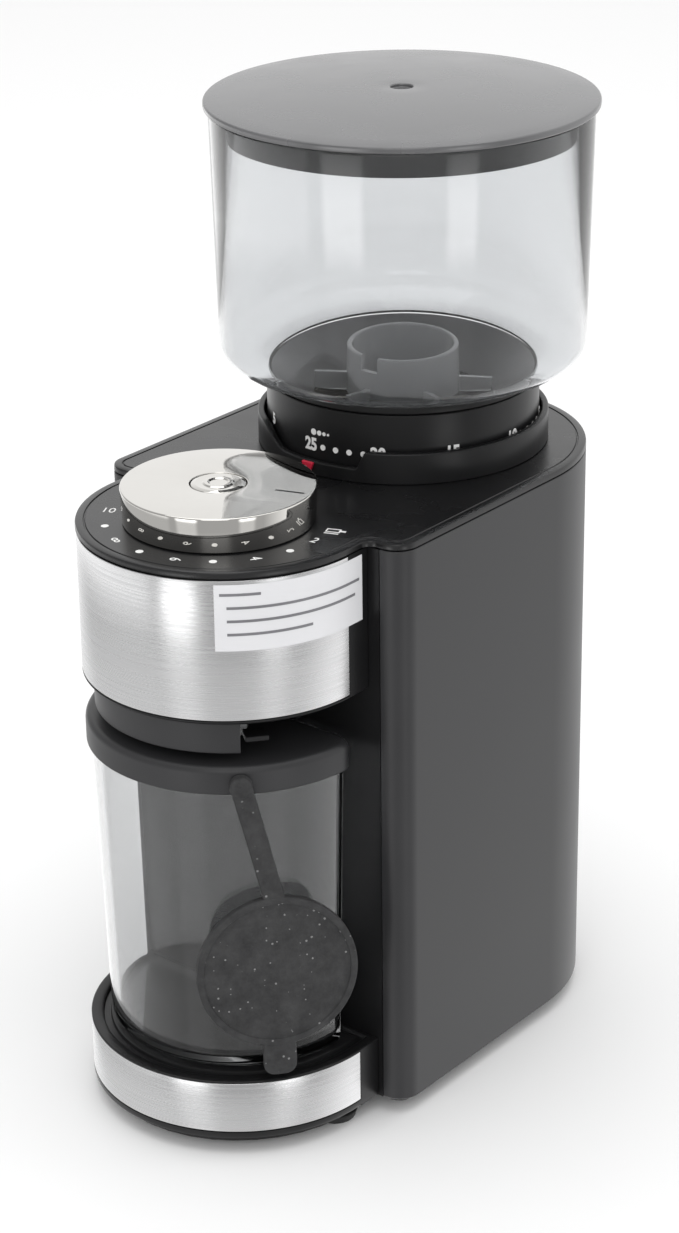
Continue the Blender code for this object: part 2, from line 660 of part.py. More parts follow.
def build_burrs(spin):
    """The shaft with its cone burr and sweeper, the chamber, and the carrier with the ring burr."""
    turned("grinding_chamber", [(0.0360, 0.1860), (0.0360, 0.1520), (0.0060, 0.1520), (0.0060, 0.1550),
                                (0.0330, 0.1550), (0.0330, 0.1860)], BURR_AXIS, "die_cast")
    chamber = bpy.data.objects["grinding_chamber"]
    cut(chamber, boxed("chamber_outlet", (-0.0095, -0.002, 0.1570), (0.0095, 0.012, 0.1642), None))

    turned("burr_shaft", [(0.0, 0.1895), (0.0035, 0.1895), (0.0040, 0.1890), (0.0040, 0.1160),
                          (0.0, 0.1160)], BURR_AXIS, "tool_steel", 24, spin)

    sweeper = prism("grounds_sweeper", circle(BURR_AXIS, 0.0315), 0.1562, 0.1580, "nylon",
                    holes=(circle(BURR_AXIS, 0.0043, 24),), pivot=spin)
    for turn in (30, 150, 270):
        blade = blade_outline(turn, 0.0220, 0.0312, 0.0009)
        join(sweeper, prism(f"sweeper_vane_{turn}", blade, 0.1572, 0.1640, None))

    cone_levels = [(0.0185, 0.1650), (0.0185, 0.1670), (0.0150, 0.1740), (0.0110, 0.1820), (0.0085, 0.1860)]
    cone = lofted("lower_burr", fluted(cone_levels, 12, 0.0012, 35, BURR_AXIS),
                  "tool_steel", pivot=spin)
    cut(cone, rod("cone_bore", (*BURR_AXIS, 0.16), (*BURR_AXIS, 0.19), 0.0043, None))
    prism("burr_nut", circle(BURR_AXIS, 0.0072, 6), 0.1863, 0.1900, "tool_steel",
          holes=(circle(BURR_AXIS, 0.0043, 24),), pivot=spin)

    travel = pivot_at("carrier_axis", (*BURR_AXIS, 0.0))
    turned("burr_carrier", [(0.0325, 0.1905), (0.0325, 0.1665), (0.0273, 0.1665), (0.0273, 0.1855),
                            (0.0215, 0.1855), (0.0215, 0.1905)], BURR_AXIS, "nylon", pivot=travel)
    ring = turned("upper_burr", [(0.0270, 0.1852), (0.0270, 0.1668), (0.0210, 0.1668), (0.0150, 0.1852)],
                  BURR_AXIS, "tool_steel", pivot=travel)
    bore_levels = [(0.0232, 0.1600), (0.0218, 0.1668), (0.0190, 0.1752), (0.0160, 0.1852), (0.0150, 0.1900)]
    bore = lofted("ring_bore", fluted(bore_levels, 16, -0.0009, -25, BURR_AXIS), None)
    cut(ring, bore)


# ---------------------------------------------------------------- setting ring and hopper

def build_setting():
    """The fixed collar with its window and pointer, and the ring that turns inside it."""
    collar = turned("collar", [(COLLAR_R - 0.0005, COLLAR_TOP), (COLLAR_R, COLLAR_TOP - 0.0005),
                               (COLLAR_R, TOP_SURFACE + GAP), (COLLAR_BORE, TOP_SURFACE + GAP),
                               (COLLAR_BORE, COLLAR_TOP)], BURR_AXIS, "black_plastic", FINE_ROUND)
    start, end = (angle - 90 for angle in WINDOW_DEG)
    sector = [BURR_AXIS] + arc(BURR_AXIS, 0.060, start, end, 10)
    cut(collar, prism("collar_window", sector, WINDOW_SILL, COLLAR_TOP + 0.01, None))

    angle = math.radians(POINTER_DEG)
    out = Vector((math.sin(angle), -math.cos(angle)))
    side = Vector((math.cos(angle), math.sin(angle)))
    near = Vector(BURR_AXIS) + out * (COLLAR_R + GAP)
    far = Vector(BURR_AXIS) + out * (COLLAR_R + 0.0010)
    low = [near - side * 0.0013, near + side * 0.0013, far + side * 0.0013, far - side * 0.0013]
    high = [near - side * 0.0022, near + side * 0.0022, far + side * 0.0022, far - side * 0.0022]
    lofted("setting_pointer", [[(*p, 0.1914) for p in low], [(*p, 0.1943) for p in high]], "red_plastic")

    turn = pivot_at("setting_axis", (*BURR_AXIS, 0.0))
    turned("adjusting_ring", [(RING_R, RING_TOP), (RING_R, RING_BOTTOM), (0.0331, RING_BOTTOM),
                              (0.0331, RING_BOTTOM + 0.0030), (0.0397, RING_BOTTOM + 0.0030),
                              (0.0397, RING_TOP)], BURR_AXIS, "black_plastic", FINE_ROUND, turn)


def build_hopper():
    """The black neck, the clear bean hopper with its guard, and the lid."""
    lift = pivot_at("hopper_axis", (*BURR_AXIS, 0.0))
    turned("hopper_neck", [(0.0408, NECK_TOP), (0.0424, NECK_TOP), (0.0424, RING_TOP + GAP),
                           (0.0390, RING_TOP + GAP), (0.0390, 0.1930), (0.0366, 0.1930),
                           (0.0366, 0.2050), (THROAT_R, 0.2010), (THROAT_R, 0.2030)],
           BURR_AXIS, "black_plastic", FINE_ROUND, lift)
    shell = [(HOPPER_TOP_R - 0.0023, HOPPER_TOP), (HOPPER_TOP_R, HOPPER_TOP), (HOPPER_LOW_R, 0.2240),
             (0.0559, 0.2209), (0.0541, 0.2183), (0.0515, 0.2168), (SEAT_R, HOPPER_FLOOR),
             (SEAT_R, HOPPER_FLOOR + 0.0022), (0.0507, 0.2189), (0.0526, 0.2200), (0.0538, 0.2218),
             (0.0542, 0.2243)]
    turned("hopper_shell", shell, BURR_AXIS, "smoke_clear", FINE_ROUND, lift)
    guard = turned("hopper_guard", [(GUARD_R, GUARD_TOP), (GUARD_R + 0.0006, GUARD_BOTTOM),
                                    (GUARD_R - 0.0016, GUARD_BOTTOM), (GUARD_R - 0.0018, GUARD_TOP)],
                   BURR_AXIS, "smoke_clear", pivot=lift)
    for turn in (0, 90, 180, 270):
        fin = blade_outline(turn, GUARD_R - 0.0005, 0.0276, 0.0012)
        join(guard, prism(f"guard_fin_{turn}", fin, 0.2047, 0.2100, None))

    lid = pivot_at("lid_axis", (*BURR_AXIS, 0.0))
    recess_r, recess_z, dome_r, dome_drop = 0.0034, LID_CROWN - 0.0012, LID_R - 0.0020, 0.0027
    dome = []
    for i in range(6):
        share = i / 5
        dome.append((recess_r + (dome_r - recess_r) * share, LID_CROWN - dome_drop * share ** 2))
    turned("hopper_lid", [(0.0, recess_z), (recess_r, recess_z)] + dome
           + [(LID_R - 0.0004, 0.2969), (LID_R, 0.2963), (LID_R, 0.2955), (LID_R - 0.0006, LID_BOTTOM),
              (0.0, LID_BOTTOM)], BURR_AXIS, "grey_plastic", FINE_ROUND, lid)
    turned("lid_plug", [(PLUG_R, LID_BOTTOM - GAP), (PLUG_R - GAP, PLUG_BOTTOM),
                        (PLUG_R - PLUG_WALL, PLUG_BOTTOM), (PLUG_R - PLUG_WALL, LID_BOTTOM - GAP)],
           BURR_AXIS, "grey_plastic", FINE_ROUND, lid)


# ---------------------------------------------------------------- jar

def build_jar():
    """The clear grounds jar, its black lid ring and the silicone cap that hangs on it."""
    slide = pivot_at("jar_axis", (*HEAD_AXIS, 0.0))

    def ring(radius, height, inset=0.0):
        plan = jar_plan(radius - inset, JAR_BACK - inset, JAR_CORNER - inset)
        return [(x, y, height) for x, y in plan]

    foot = [ring(JAR_LOW_R, JAR_BOTTOM, 0.0025), ring(JAR_LOW_R, JAR_BOTTOM + 0.0008, 0.0010)]
    wall = [ring(JAR_LOW_R, JAR_BOTTOM + 0.0030), ring(JAR_TOP_R, JAR_TOP)]
    shell = lofted("jar_shell", foot + wall, "smoke_clear", pivot=slide)
    hollow = lofted("jar_hollow", [ring(JAR_LOW_R, JAR_BOTTOM + 0.0030, JAR_WALL + 0.0015),
                                   ring(JAR_LOW_R, JAR_BOTTOM + 0.0050, JAR_WALL),
                                   ring(JAR_TOP_R, JAR_TOP + 0.002, JAR_WALL)], None)
    cut(shell, hollow)

    lid = prism("jar_lid", jar_plan(JAR_LID_R, JAR_BACK + 0.0013, JAR_CORNER + 0.001), JAR_LID_BOTTOM,
                JAR_LID_TOP, "black_plastic", holes=(circle((0.0, OPENING_Y), OPENING_R),), pivot=slide)
    cut(lid, prism("jar_lid_hollow", jar_plan(JAR_TOP_R + GAP, JAR_BACK + GAP, JAR_CORNER),
                   JAR_LID_BOTTOM - 0.01, JAR_TOP + GAP, None))
    near, far = (around_head(radius, ANCHOR_DEG, STUD_Z) for radius in STUD_REACH)
    rod("cap_stud", near, far, STUD_R, "silicone", pivot=slide)
    build_cap()


def build_cap():
    """The cap: a flat strap that bends just under the stud, and a disc with a pull tab."""
    start = around_head(STRAP_OUT, ANCHOR_DEG, HINGE_Z)
    pivot = pivot_at("cap_axis", start)
    pivot.rotation_euler = (0.0, 0.0, math.radians(ANCHOR_DEG))
    bpy.context.view_layer.update()

    face = math.radians(CAP_FACE_DEG)
    lean = math.radians(CAP_LEAN_DEG)
    out = Vector((math.sin(face) * math.cos(lean), -math.cos(face) * math.cos(lean), math.sin(lean)))
    across = Vector((math.cos(face), math.sin(face), 0.0))
    up = out.cross(across)
    centre = around_head(CAP_OUT, CAP_DEG, CAP_Z)

    stations = 9
    end = centre + up * (CAP_R - 0.0015)
    sections = []
    for i in range(stations):
        share = i / (stations - 1)
        bulge = 0.0008 * math.sin(math.pi * share)
        middle = start.lerp(end, share) + out * bulge
        sweep = math.radians(ANCHOR_DEG + (CAP_FACE_DEG - ANCHOR_DEG) * share)
        side = Vector((math.cos(sweep), math.sin(sweep), 0.0)) * STRAP_WIDTH / 2
        thick = Vector((math.sin(sweep), -math.cos(sweep), 0.0)) * STRAP_THICK / 2
        sections.append([middle - side - thick, middle + side - thick,
                         middle + side + thick, middle - side + thick])
    cap = lofted("jar_cap", sections, "silicone")
    cap.data.transform(pivot.matrix_world.inverted())
    cap.parent = pivot

    disc = rod("cap_disc", centre - out * CAP_THICK / 2, centre + out * CAP_THICK / 2, CAP_R, None, ROUND)
    hinge_side = Vector((math.cos(math.radians(ANCHOR_DEG)), math.sin(math.radians(ANCHOR_DEG)), 0.0))
    knuckle = rod("strap_knuckle", start - hinge_side * STRAP_WIDTH / 2,
                  start + hinge_side * STRAP_WIDTH / 2, STRAP_THICK / 2, None, 12)
    low = centre - up * (CAP_R + TAB_LENGTH)
    high = centre - up * (CAP_R - 0.0020)
    corner = 0.0030
    centre_x = TAB_HALF_WIDTH - corner
    rounded = arc((-centre_x, corner), corner, 180, 270, 3) + arc((centre_x, corner), corner, 270, 360, 3)
    tab = []
    for depth in (-0.0011, 0.0011):
        ring = [low + across * x + up * y + out * depth for x, y in rounded]
        ring += [high + across * TAB_HALF_WIDTH + out * depth, high - across * TAB_HALF_WIDTH + out * depth]
        tab.append(ring)
    join(cap, knuckle, disc, lofted("cap_tab", tab, None))


def main():
    """Build every piece of the grinder."""
    build_base()
    build_column()
    build_head()
    build_controls()
    build_motor()
    build_burrs(build_gears())
    build_setting()
    build_hopper()
    build_jar()


main()
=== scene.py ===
"""The finished burr coffee grinder, dressed round its fixed frame.

Metres, +Z up and -Y is the front. Each class below builds the visible pieces of one sub-assembly,
takes its places from the frame's own boxes, and gives every piece a procedural finish.
"""

import json
import logging
import math
from dataclasses import dataclass
from enum import Enum
from typing import Iterable, Optional, Sequence

import bmesh
import bpy
from mathutils import Matrix, Vector
from mathutils.geometry import tessellate_polygon


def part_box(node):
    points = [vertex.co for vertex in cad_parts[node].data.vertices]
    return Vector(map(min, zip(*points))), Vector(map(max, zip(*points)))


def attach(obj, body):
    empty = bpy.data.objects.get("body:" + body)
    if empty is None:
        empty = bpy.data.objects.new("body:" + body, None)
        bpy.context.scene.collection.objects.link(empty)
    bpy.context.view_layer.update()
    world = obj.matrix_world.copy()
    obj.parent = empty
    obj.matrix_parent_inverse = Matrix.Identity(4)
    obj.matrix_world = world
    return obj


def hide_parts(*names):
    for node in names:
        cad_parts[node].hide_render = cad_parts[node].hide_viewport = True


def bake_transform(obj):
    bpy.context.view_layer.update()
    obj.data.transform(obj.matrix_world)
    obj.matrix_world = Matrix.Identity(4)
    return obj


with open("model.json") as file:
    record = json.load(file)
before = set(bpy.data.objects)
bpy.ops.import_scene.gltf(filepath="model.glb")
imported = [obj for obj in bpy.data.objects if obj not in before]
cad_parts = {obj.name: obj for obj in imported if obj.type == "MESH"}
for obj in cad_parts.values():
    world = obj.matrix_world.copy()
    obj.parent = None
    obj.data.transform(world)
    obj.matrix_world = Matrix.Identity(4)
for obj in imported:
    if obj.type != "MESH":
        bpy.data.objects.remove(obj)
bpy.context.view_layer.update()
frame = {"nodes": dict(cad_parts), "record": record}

log = logging.getLogger("grinder")

ROUND_STEPS = 120           # steps round a turned piece
ARC_STEPS = 72              # steps round the front half circles
BAND_END_DEG = 89.6         # where the steel bands end, from straight ahead
WELD = 1e-6                 # points closer than this are one
CLEARANCE = 0.0003          # between pieces that touch
PRINT_DEPTH = 0.00008       # how far printed figures stand up
SHARP_DEG = 32.0            # edges that turn more than this stay sharp
FIGURE_SHARE = 0.72         # the height of a figure in the font, as a share of its size
DOT_SIDES = 28              # sides of a printed dot
RECESS_LENGTH = 1.1         # a screw's cross, as shares of its head's radius and height
RECESS_WIDTH = 0.26
RECESS_DEPTH = 0.6
NOISE_SPAN = (0.3, 0.7)     # the middle of a noise, where nearly all of it lies

Point = tuple[float, float]
Outline = list[Point]
Corner = tuple[float, float, float]
Colour = tuple[float, float, float]


class Body(Enum):
    """The bodies that pieces ride on."""

    ROOT = "root"
    RING = "setting_ring"
    HOPPER = "hopper"
    LID = "hopper_lid"
    DIAL = "dial"
    BUTTON = "start_button"
    JAR = "jar"
    CAP = "jar_cap"


class Slot(Enum):
    """The record's material slots."""

    BLACK = "black_plastic"
    GREY = "grey_plastic"
    STEEL = "brushed_steel"
    CHROME = "chrome"
    CLEAR = "smoke_clear"
    RUBBER = "rubber"
    SILICONE = "silicone"
    RED = "red_plastic"
    DIE_CAST = "die_cast"
    TOOL_STEEL = "tool_steel"
    NYLON = "nylon"
    BRONZE = "bronze"
    BOARD = "circuit_board"


# ---------------------------------------------------------------- places from the frame

@dataclass(frozen=True)
class Envelope:
    """The box round one or more nodes of the frame at rest."""

    low: Vector
    high: Vector

    @classmethod
    def of(cls, *nodes: str) -> "Envelope":
        """Measure some nodes.

        Args:
            nodes: names of nodes of the frame.

        Returns:
            The box round all of them.
        """
        boxes = [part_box(node) for node in nodes]
        low = Vector(min(box[0][i] for box in boxes) for i in range(3))
        high = Vector(max(box[1][i] for box in boxes) for i in range(3))
        return cls(low, high)

    @property
    def radius(self) -> float:
        """Half the width along X, which is the radius of a turned piece."""
        return (self.high.x - self.low.x) / 2

    @property
    def axis(self) -> Point:
        """The upright axis through the middle."""
        middle = (self.low + self.high) / 2
        return (middle.x, middle.y)

    @property
    def bottom(self) -> float:
        """Its lowest height."""
        return self.low.z

    @property
    def top(self) -> float:
        """Its highest height."""
        return self.high.z


BURR_AXIS = Envelope.of("adjusting_ring").axis
DIAL_AXIS = Envelope.of("dial_knob").axis
HEAD_AXIS = (0.0, Envelope.of("head_trim_band").low.y + Envelope.of("head_trim_band").radius)


# ---------------------------------------------------------------- outlines

def arc(centre: Point, radius: float, start_deg: float, end_deg: float, steps: int) -> Outline:
    """Points along an arc.

    Args:
        centre: its centre.
        radius: its radius.
        start_deg: where it starts, from +X.
        end_deg: where it ends.
        steps: how many straight steps it takes.

    Returns:
        The points, both ends included.
    """
    points = []
    for i in range(steps + 1):
        angle = math.radians(start_deg + (end_deg - start_deg) * i / steps)
        points.append((centre[0] + radius * math.cos(angle),
                       centre[1] + radius * math.sin(angle)))
    return points


def circle(centre: Point, radius: float, steps: int = ROUND_STEPS) -> Outline:
    """Points round a whole circle.

    Args:
        centre: its centre.
        radius: its radius.
        steps: how many points.

    Returns:
        The points, the first not repeated.
    """
    return arc(centre, radius, 0.0, 360.0, steps)[:-1]


def soften(corners: Sequence[Corner], steps: int = 5) -> Outline:
    """Round the corners of a closed outline.

    Args:
        corners: each corner as (across, up, radius).
        steps: how many straight steps a rounded corner takes.

    Returns:
        The outline's points.
    """
    points: Outline = []
    for i, (across, up, radius) in enumerate(corners):
        if radius <= 0.0:
            points.append((across, up))
            continue
        last, following = corners[i - 1], corners[(i + 1) % len(corners)]
        back = math.atan2(last[1] - up, last[0] - across)
        ahead = math.atan2(following[1] - up, following[0] - across)
        turn = (ahead - back + math.pi) % (2 * math.pi) - math.pi
        half = abs(turn) / 2
        room = min(math.dist(last[:2], (across, up)), math.dist(following[:2], (across, up)))
        reach = min(radius / math.tan(half), 0.49 * room)
        radius = reach * math.tan(half)
        bisector = back + turn / 2
        centre = (across + radius / math.sin(half) * math.cos(bisector),
                  up + radius / math.sin(half) * math.sin(bisector))
        start = math.degrees(back - math.copysign(math.pi / 2, turn))
        sweep = -math.copysign(180.0 - 2 * math.degrees(half), turn)
        points += arc(centre, radius, start, start + sweep, steps)
    return points


def front_plan(radius: float, back: float, arc_radius: Optional[float] = None) -> Outline:
    """The head's or base's plan: a half circle at the front with straight sides to the back.

    Args:
        radius: half its width.
        back: the y where its sides end.
        arc_radius: the half circle's radius where a groove makes it smaller.

    Returns:
        An open outline from the left back corner round the front to the right back corner.
    """
    x, y = HEAD_AXIS
    bend = arc(HEAD_AXIS, radius if arc_radius is None else arc_radius, 180, 360, ARC_STEPS)
    return [(x - radius, back), (x - radius, y)] + bend + [(x + radius, y), (x + radius, back)]


def jar_plan(radius: float, back: float, corner: float) -> Outline:
    """The jar's flat-backed plan.

    Args:
        radius: the round front's radius.
        back: the y of its flat back.
        corner: the radius of its two back corners.

    Returns:
        A closed outline.
    """
    rise = back - corner - HEAD_AXIS[1]
    side = math.sqrt((radius - corner) ** 2 - rise ** 2)
    tilt = math.degrees(math.atan2(rise, side))
    right = arc((side, back - corner), corner, tilt, 90, 8)[1:]
    left = arc((-side, back - corner), corner, 90, 180 - tilt, 8)[:-1]
    return arc(HEAD_AXIS, radius, 180 - tilt, 360 + tilt, ARC_STEPS) + right + left


def beside(axis: Point, radius: float, angle: float, height: float) -> Vector:
    """A point on a circle round an upright axis.

    Args:
        axis: where the axis stands.
        radius: the circle's radius.
        angle: the angle from straight ahead towards +X, in radians.
        height: the point's height.

    Returns:
        The point.
    """
    return Vector((axis[0] + radius * math.sin(angle), axis[1] - radius * math.cos(angle), height))


def on_head(radius: float, degrees: float, height: float) -> Vector:
    """A point on a circle round the head's axis, at some degrees from straight ahead."""
    return beside(HEAD_AXIS, radius, math.radians(degrees), height)


# ---------------------------------------------------------------- meshes

class Solid:
    """A closed shape put together ring by ring."""

    def __init__(self) -> None:
        """Start with nothing."""
        self.bm = bmesh.new()

    def ring(self, outline: Outline, height: float) -> list[bmesh.types.BMVert]:
        """Lay an outline flat at a height and return its points."""
        return [self.bm.verts.new((x, y, height)) for x, y in outline]

    def path(self, points: Iterable[Sequence[float]]) -> list[bmesh.types.BMVert]:
        """Add points in space and return them."""
        return [self.bm.verts.new(point) for point in points]

    def strip(self, first: list, second: list, closed: bool = True) -> None:
        """Join two rows of points with faces.

        Args:
            first: one row.
            second: the other, with as many points.
            closed: whether the rows run all the way round.
        """
        count = len(first)
        for i in range(count if closed else count - 1):
            j = (i + 1) % count
            corners = [first[i], first[j], second[j], second[i]]
            self.bm.faces.new(corners)

    def stack(self, rings: Sequence[list], closed: bool = True) -> None:
        """Join each row of points to the next."""
        for first, second in zip(rings, rings[1:]):
            self.strip(first, second, closed)

    def cap(self, *rings: list) -> None:
        """Fill the first ring, leaving the others as holes."""
        points = [vert for ring in rings for vert in ring]
        for corners in tessellate_polygon([[vert.co for vert in ring] for ring in rings]):
            self.bm.faces.new([points[i] for i in corners])

    def loft(self, rings: Sequence[list]) -> None:
        """Join each row of points to the next and fill the first and the last."""
        self.stack(rings)
        self.cap(rings[0])
        self.cap(rings[-1])

    def mesh(self, name: str) -> bpy.types.Mesh:
        """Close the shape, turn its faces outwards, shade it and return its mesh."""
        return tidy(to_mesh(name, self.bm))


def to_mesh(name: str, bm: bmesh.types.BMesh) -> bpy.types.Mesh:
    """A new mesh of what a bmesh holds, with the bmesh freed."""
    mesh = bpy.data.meshes.new(name)
    bm.to_mesh(mesh)
    bm.free()
    return mesh


def shaded(mesh: bpy.types.Mesh) -> bpy.types.Mesh:
    """Shade a mesh smooth between sharp edges and return it."""
    mesh.shade_smooth()
    mesh.set_sharp_from_angle(angle=math.radians(SHARP_DEG))
    return mesh


def linked(name: str, data: bpy.types.ID) -> bpy.types.Object:
    """Put a new object with some data in the scene and return it."""
    item = bpy.data.objects.new(name, data)
    bpy.context.scene.collection.objects.link(item)
    return item


def tidy(mesh: bpy.types.Mesh) -> bpy.types.Mesh:
    """Weld a closed mesh, turn its faces outwards and shade it smooth between sharp edges.

    Args:
        mesh: the mesh to change.

    Returns:
        The same mesh.
    """
    bm = bmesh.new()
    bm.from_mesh(mesh)
    bmesh.ops.remove_doubles(bm, verts=bm.verts, dist=WELD)
    bmesh.ops.dissolve_degenerate(bm, dist=WELD / 2, edges=bm.edges)
    bmesh.ops.recalc_face_normals(bm, faces=bm.faces)
    bm.to_mesh(mesh)
    bm.free()
    return shaded(mesh)


def lofted(name: str, rows: Iterable[Iterable[Sequence[float]]]) -> bpy.types.Mesh:
    """A closed mesh through rows of points in space.

    Args:
        name: the mesh's name.
        rows: the rows, each with as many points.

    Returns:
        The mesh.
    """
    solid = Solid()
    solid.loft([solid.path(row) for row in rows])
    return solid.mesh(name)


def swept(name: str, section: Outline, start_deg: float, end_deg: float) -> bpy.types.Mesh:
    """Sweep a section of (radius, height) points part of the way round the head's axis.

    Args:
        name: the mesh's name.
        section: the section.
        start_deg: where it starts, from straight ahead towards +X.
        end_deg: where it ends.

    Returns:
        The mesh.
    """
    turns = [start_deg + (end_deg - start_deg) * i / ARC_STEPS for i in range(ARC_STEPS + 1)]
    return lofted(name, ([on_head(radius, turn, height) for radius, height in section]
                         for turn in turns))


def evaluated(item: bpy.types.Object) -> bpy.types.Mesh:
    """The mesh that an object's modifiers make, with the object removed.

    Args:
        item: an object at the origin.

    Returns:
        A plain mesh.
    """
    bpy.context.view_layer.update()
    graph = bpy.context.evaluated_depsgraph_get()
    mesh = bpy.data.meshes.new_from_object(item.evaluated_get(graph))
    bpy.data.objects.remove(item)
    return mesh


def combined(base: bpy.types.Mesh, others: Sequence[bpy.types.Mesh],
             operation: str) -> bpy.types.Mesh:
    """A Boolean of a mesh with others.

    Args:
        base: the mesh to start from.
        others: the meshes to cut out or to join on.
        operation: DIFFERENCE or UNION.

    Returns:
        The result, tidied.
    """
    item = linked("base", base)
    tools = [linked("tool", other) for other in others]
    for tool in tools:
        boolean = item.modifiers.new("boolean", "BOOLEAN")
        boolean.operation = operation
        boolean.solver = "EXACT"
        boolean.object = tool
    mesh = evaluated(item)
    for tool in tools:
        bpy.data.objects.remove(tool)
    return tidy(mesh)


def merged(name: str, meshes: Sequence[bpy.types.Mesh]) -> bpy.types.Mesh:
    """Several closed meshes as one mesh of separate lumps.

    Args:
        name: the new mesh's name.
        meshes: what goes into it.

    Returns:
        The mesh.
    """
    bm = bmesh.new()
    for mesh in meshes:
        bm.from_mesh(mesh)
    return shaded(to_mesh(name, bm))


def block(low: Sequence[float], high: Sequence[float], bevel: float = 0.0) -> bpy.types.Mesh:
    """A box between two corners with rounded edges.

    Args:
        low: its lowest corner.
        high: its highest corner.
        bevel: the radius of its edges.

    Returns:
        The mesh.
    """
    bm = bmesh.new()
    bmesh.ops.create_cube(bm, size=1.0)
    bmesh.ops.scale(bm, vec=Vector(high) - Vector(low), verts=bm.verts)
    bmesh.ops.translate(bm, vec=(Vector(high) + Vector(low)) / 2, verts=bm.verts)
    if bevel:
        bmesh.ops.bevel(bm, geom=bm.edges[:], offset=bevel, segments=3, profile=0.5,
                        affect="EDGES")
    return tidy(to_mesh("block", bm))


def figure_mesh(text: str, height: float, squeeze: float, weight: float = 0.0) -> bpy.types.Mesh:
    """Flat figures centred on the origin.

    Args:
        text: the figures.
        height: how tall they are.
        squeeze: their width as a share of the font's own.
        weight: how far their strokes are thickened to each side.

    Returns:
        The mesh, lying in the XY plane with its underside at z = 0.
    """
    curve = bpy.data.curves.new(f"figure_{text}", "FONT")
    curve.body = text
    curve.align_x = "CENTER"
    curve.align_y = "CENTER"
    curve.size = height / FIGURE_SHARE
    curve.extrude = PRINT_DEPTH / 2
    curve.offset = weight
    mesh = evaluated(linked("figure", curve))
    mesh.transform(Matrix.Translation((0, 0, PRINT_DEPTH / 2))
                   @ Matrix.Diagonal((squeeze, 1, 1, 1)))
    return tidy(mesh)


def wrap_round(mesh: bpy.types.Mesh, axis: Point, radius: float, degrees: float,
               height: float) -> bpy.types.Mesh:
    """Bend a flat mesh round an upright cylinder.

    Args:
        mesh: a mesh in the XY plane, with x along the bend and y up.
        axis: the cylinder's axis.
        radius: its radius.
        degrees: where the mesh's middle goes, from straight ahead towards +X.
        height: the height of the mesh's middle.

    Returns:
        The same mesh.
    """
    for vert in mesh.vertices:
        vert.co = beside(axis, radius + vert.co.z, math.radians(degrees) + vert.co.x / radius,
                         height + vert.co.y)
    return tidy(mesh)


# ---------------------------------------------------------------- node trees

FLOAT, WHOLE, VECTOR = "NodeSocketFloat", "NodeSocketInt", "NodeSocketVector"
SHAPE, PAINT = "NodeSocketGeometry", "NodeSocketMaterial"

Socket = bpy.types.NodeSocket
Sockets = bpy.types.NodeOutputs


class TreeMaker:
    """Small helper that puts nodes in a tree and links them."""

    def __init__(self, tree: bpy.types.NodeTree) -> None:
        """Work on one tree."""
        self.tree = tree

    def add(self, kind: str, inputs: Optional[dict] = None, **settings: object) -> bpy.types.Node:
        """Add a node.

        Args:
            kind: the node's type.
            inputs: a value, or another node's output, for each input by name or number.
            settings: the node's own properties.

        Returns:
            The node.
        """
        node = self.tree.nodes.new(kind)
        for name, value in settings.items():
            setattr(node, name, value)
        for key, value in (inputs or {}).items():
            if isinstance(value, Socket):
                self.tree.links.new(value, node.inputs[key])
            else:
                node.inputs[key].default_value = value
        return node

    def maths(self, operation: str, first: object, second: object = 0.0) -> Socket:
        """A Math node's result."""
        return self.add("ShaderNodeMath", {0: first, 1: second}, operation=operation).outputs[0]

    def times(self, first: object, second: object) -> Socket:
        """One value times another."""
        return self.maths("MULTIPLY", first, second)

    def plus(self, first: object, second: object) -> Socket:
        """One value plus another."""
        return self.maths("ADD", first, second)

    def vector(self, **parts: object) -> Socket:
        """A vector from its parts X, Y and Z, of which any may be left out."""
        return self.add("ShaderNodeCombineXYZ", parts).outputs[0]

    def moved(self, point: Socket, offset: object) -> Socket:
        """A point moved by an offset."""
        return self.add("ShaderNodeVectorMath", {0: point, 1: offset}, operation="ADD").outputs[0]

    def noise(self, where: Socket, scale: object, **values: float) -> Socket:
        """A noise texture's value."""
        inputs = {"Vector": where, "Scale": scale, **values}
        return self.add("ShaderNodeTexNoise", inputs).outputs[0]

    def ramp(self, value: Socket, old: Sequence[float], new: Sequence[float] = (0.0, 1.0),
             **settings: str) -> Socket:
        """Map a value from one range to another, held at both ends."""
        return self.add("ShaderNodeMapRange", {
            "Value": value, "From Min": old[0], "From Max": old[1], "To Min": new[0],
            "To Max": new[1]}, **settings).outputs[0]


def spaced(values: dict[str, object]) -> dict[str, object]:
    """The same values under names with a space for each underscore."""
    return {name.replace("_", " "): value for name, value in values.items()}


def new_tree(name: str, kind: str, inputs: dict[str, str],
             outputs: dict[str, str]) -> tuple[TreeMaker, Sockets]:
    """Start a node tree with named inputs and outputs.

    Args:
        name: the tree's name.
        kind: the tree's type.
        inputs: each input's name and socket type.
        outputs: each output's name and socket type.

    Returns:
        The maker and the sockets that the inputs come from.
    """
    maker = TreeMaker(bpy.data.node_groups.new(name, kind))
    for way, sockets in (("INPUT", inputs), ("OUTPUT", outputs)):
        for label, socket_type in spaced(sockets).items():
            maker.tree.interface.new_socket(label, in_out=way, socket_type=socket_type)
    return maker, maker.add("NodeGroupInput").outputs


def new_geometry_tree(name: str, **inputs: str) -> tuple[TreeMaker, Sockets]:
    """Start a geometry tree with named inputs and one shape that comes out."""
    return new_tree(name, "GeometryNodeTree", inputs, {"Piece": SHAPE})


def end_geometry_tree(maker: TreeMaker, shape: Socket, finish: Socket) -> bpy.types.NodeTree:
    """Finish a geometry tree: realise its instances and give them their material."""
    real = maker.add("GeometryNodeRealizeInstances", {"Geometry": shape})
    dressed = maker.add("GeometryNodeSetMaterial",
                        {"Geometry": real.outputs[0], "Material": finish})
    maker.add("NodeGroupOutput", {"Piece": dressed.outputs[0]})
    return maker.tree


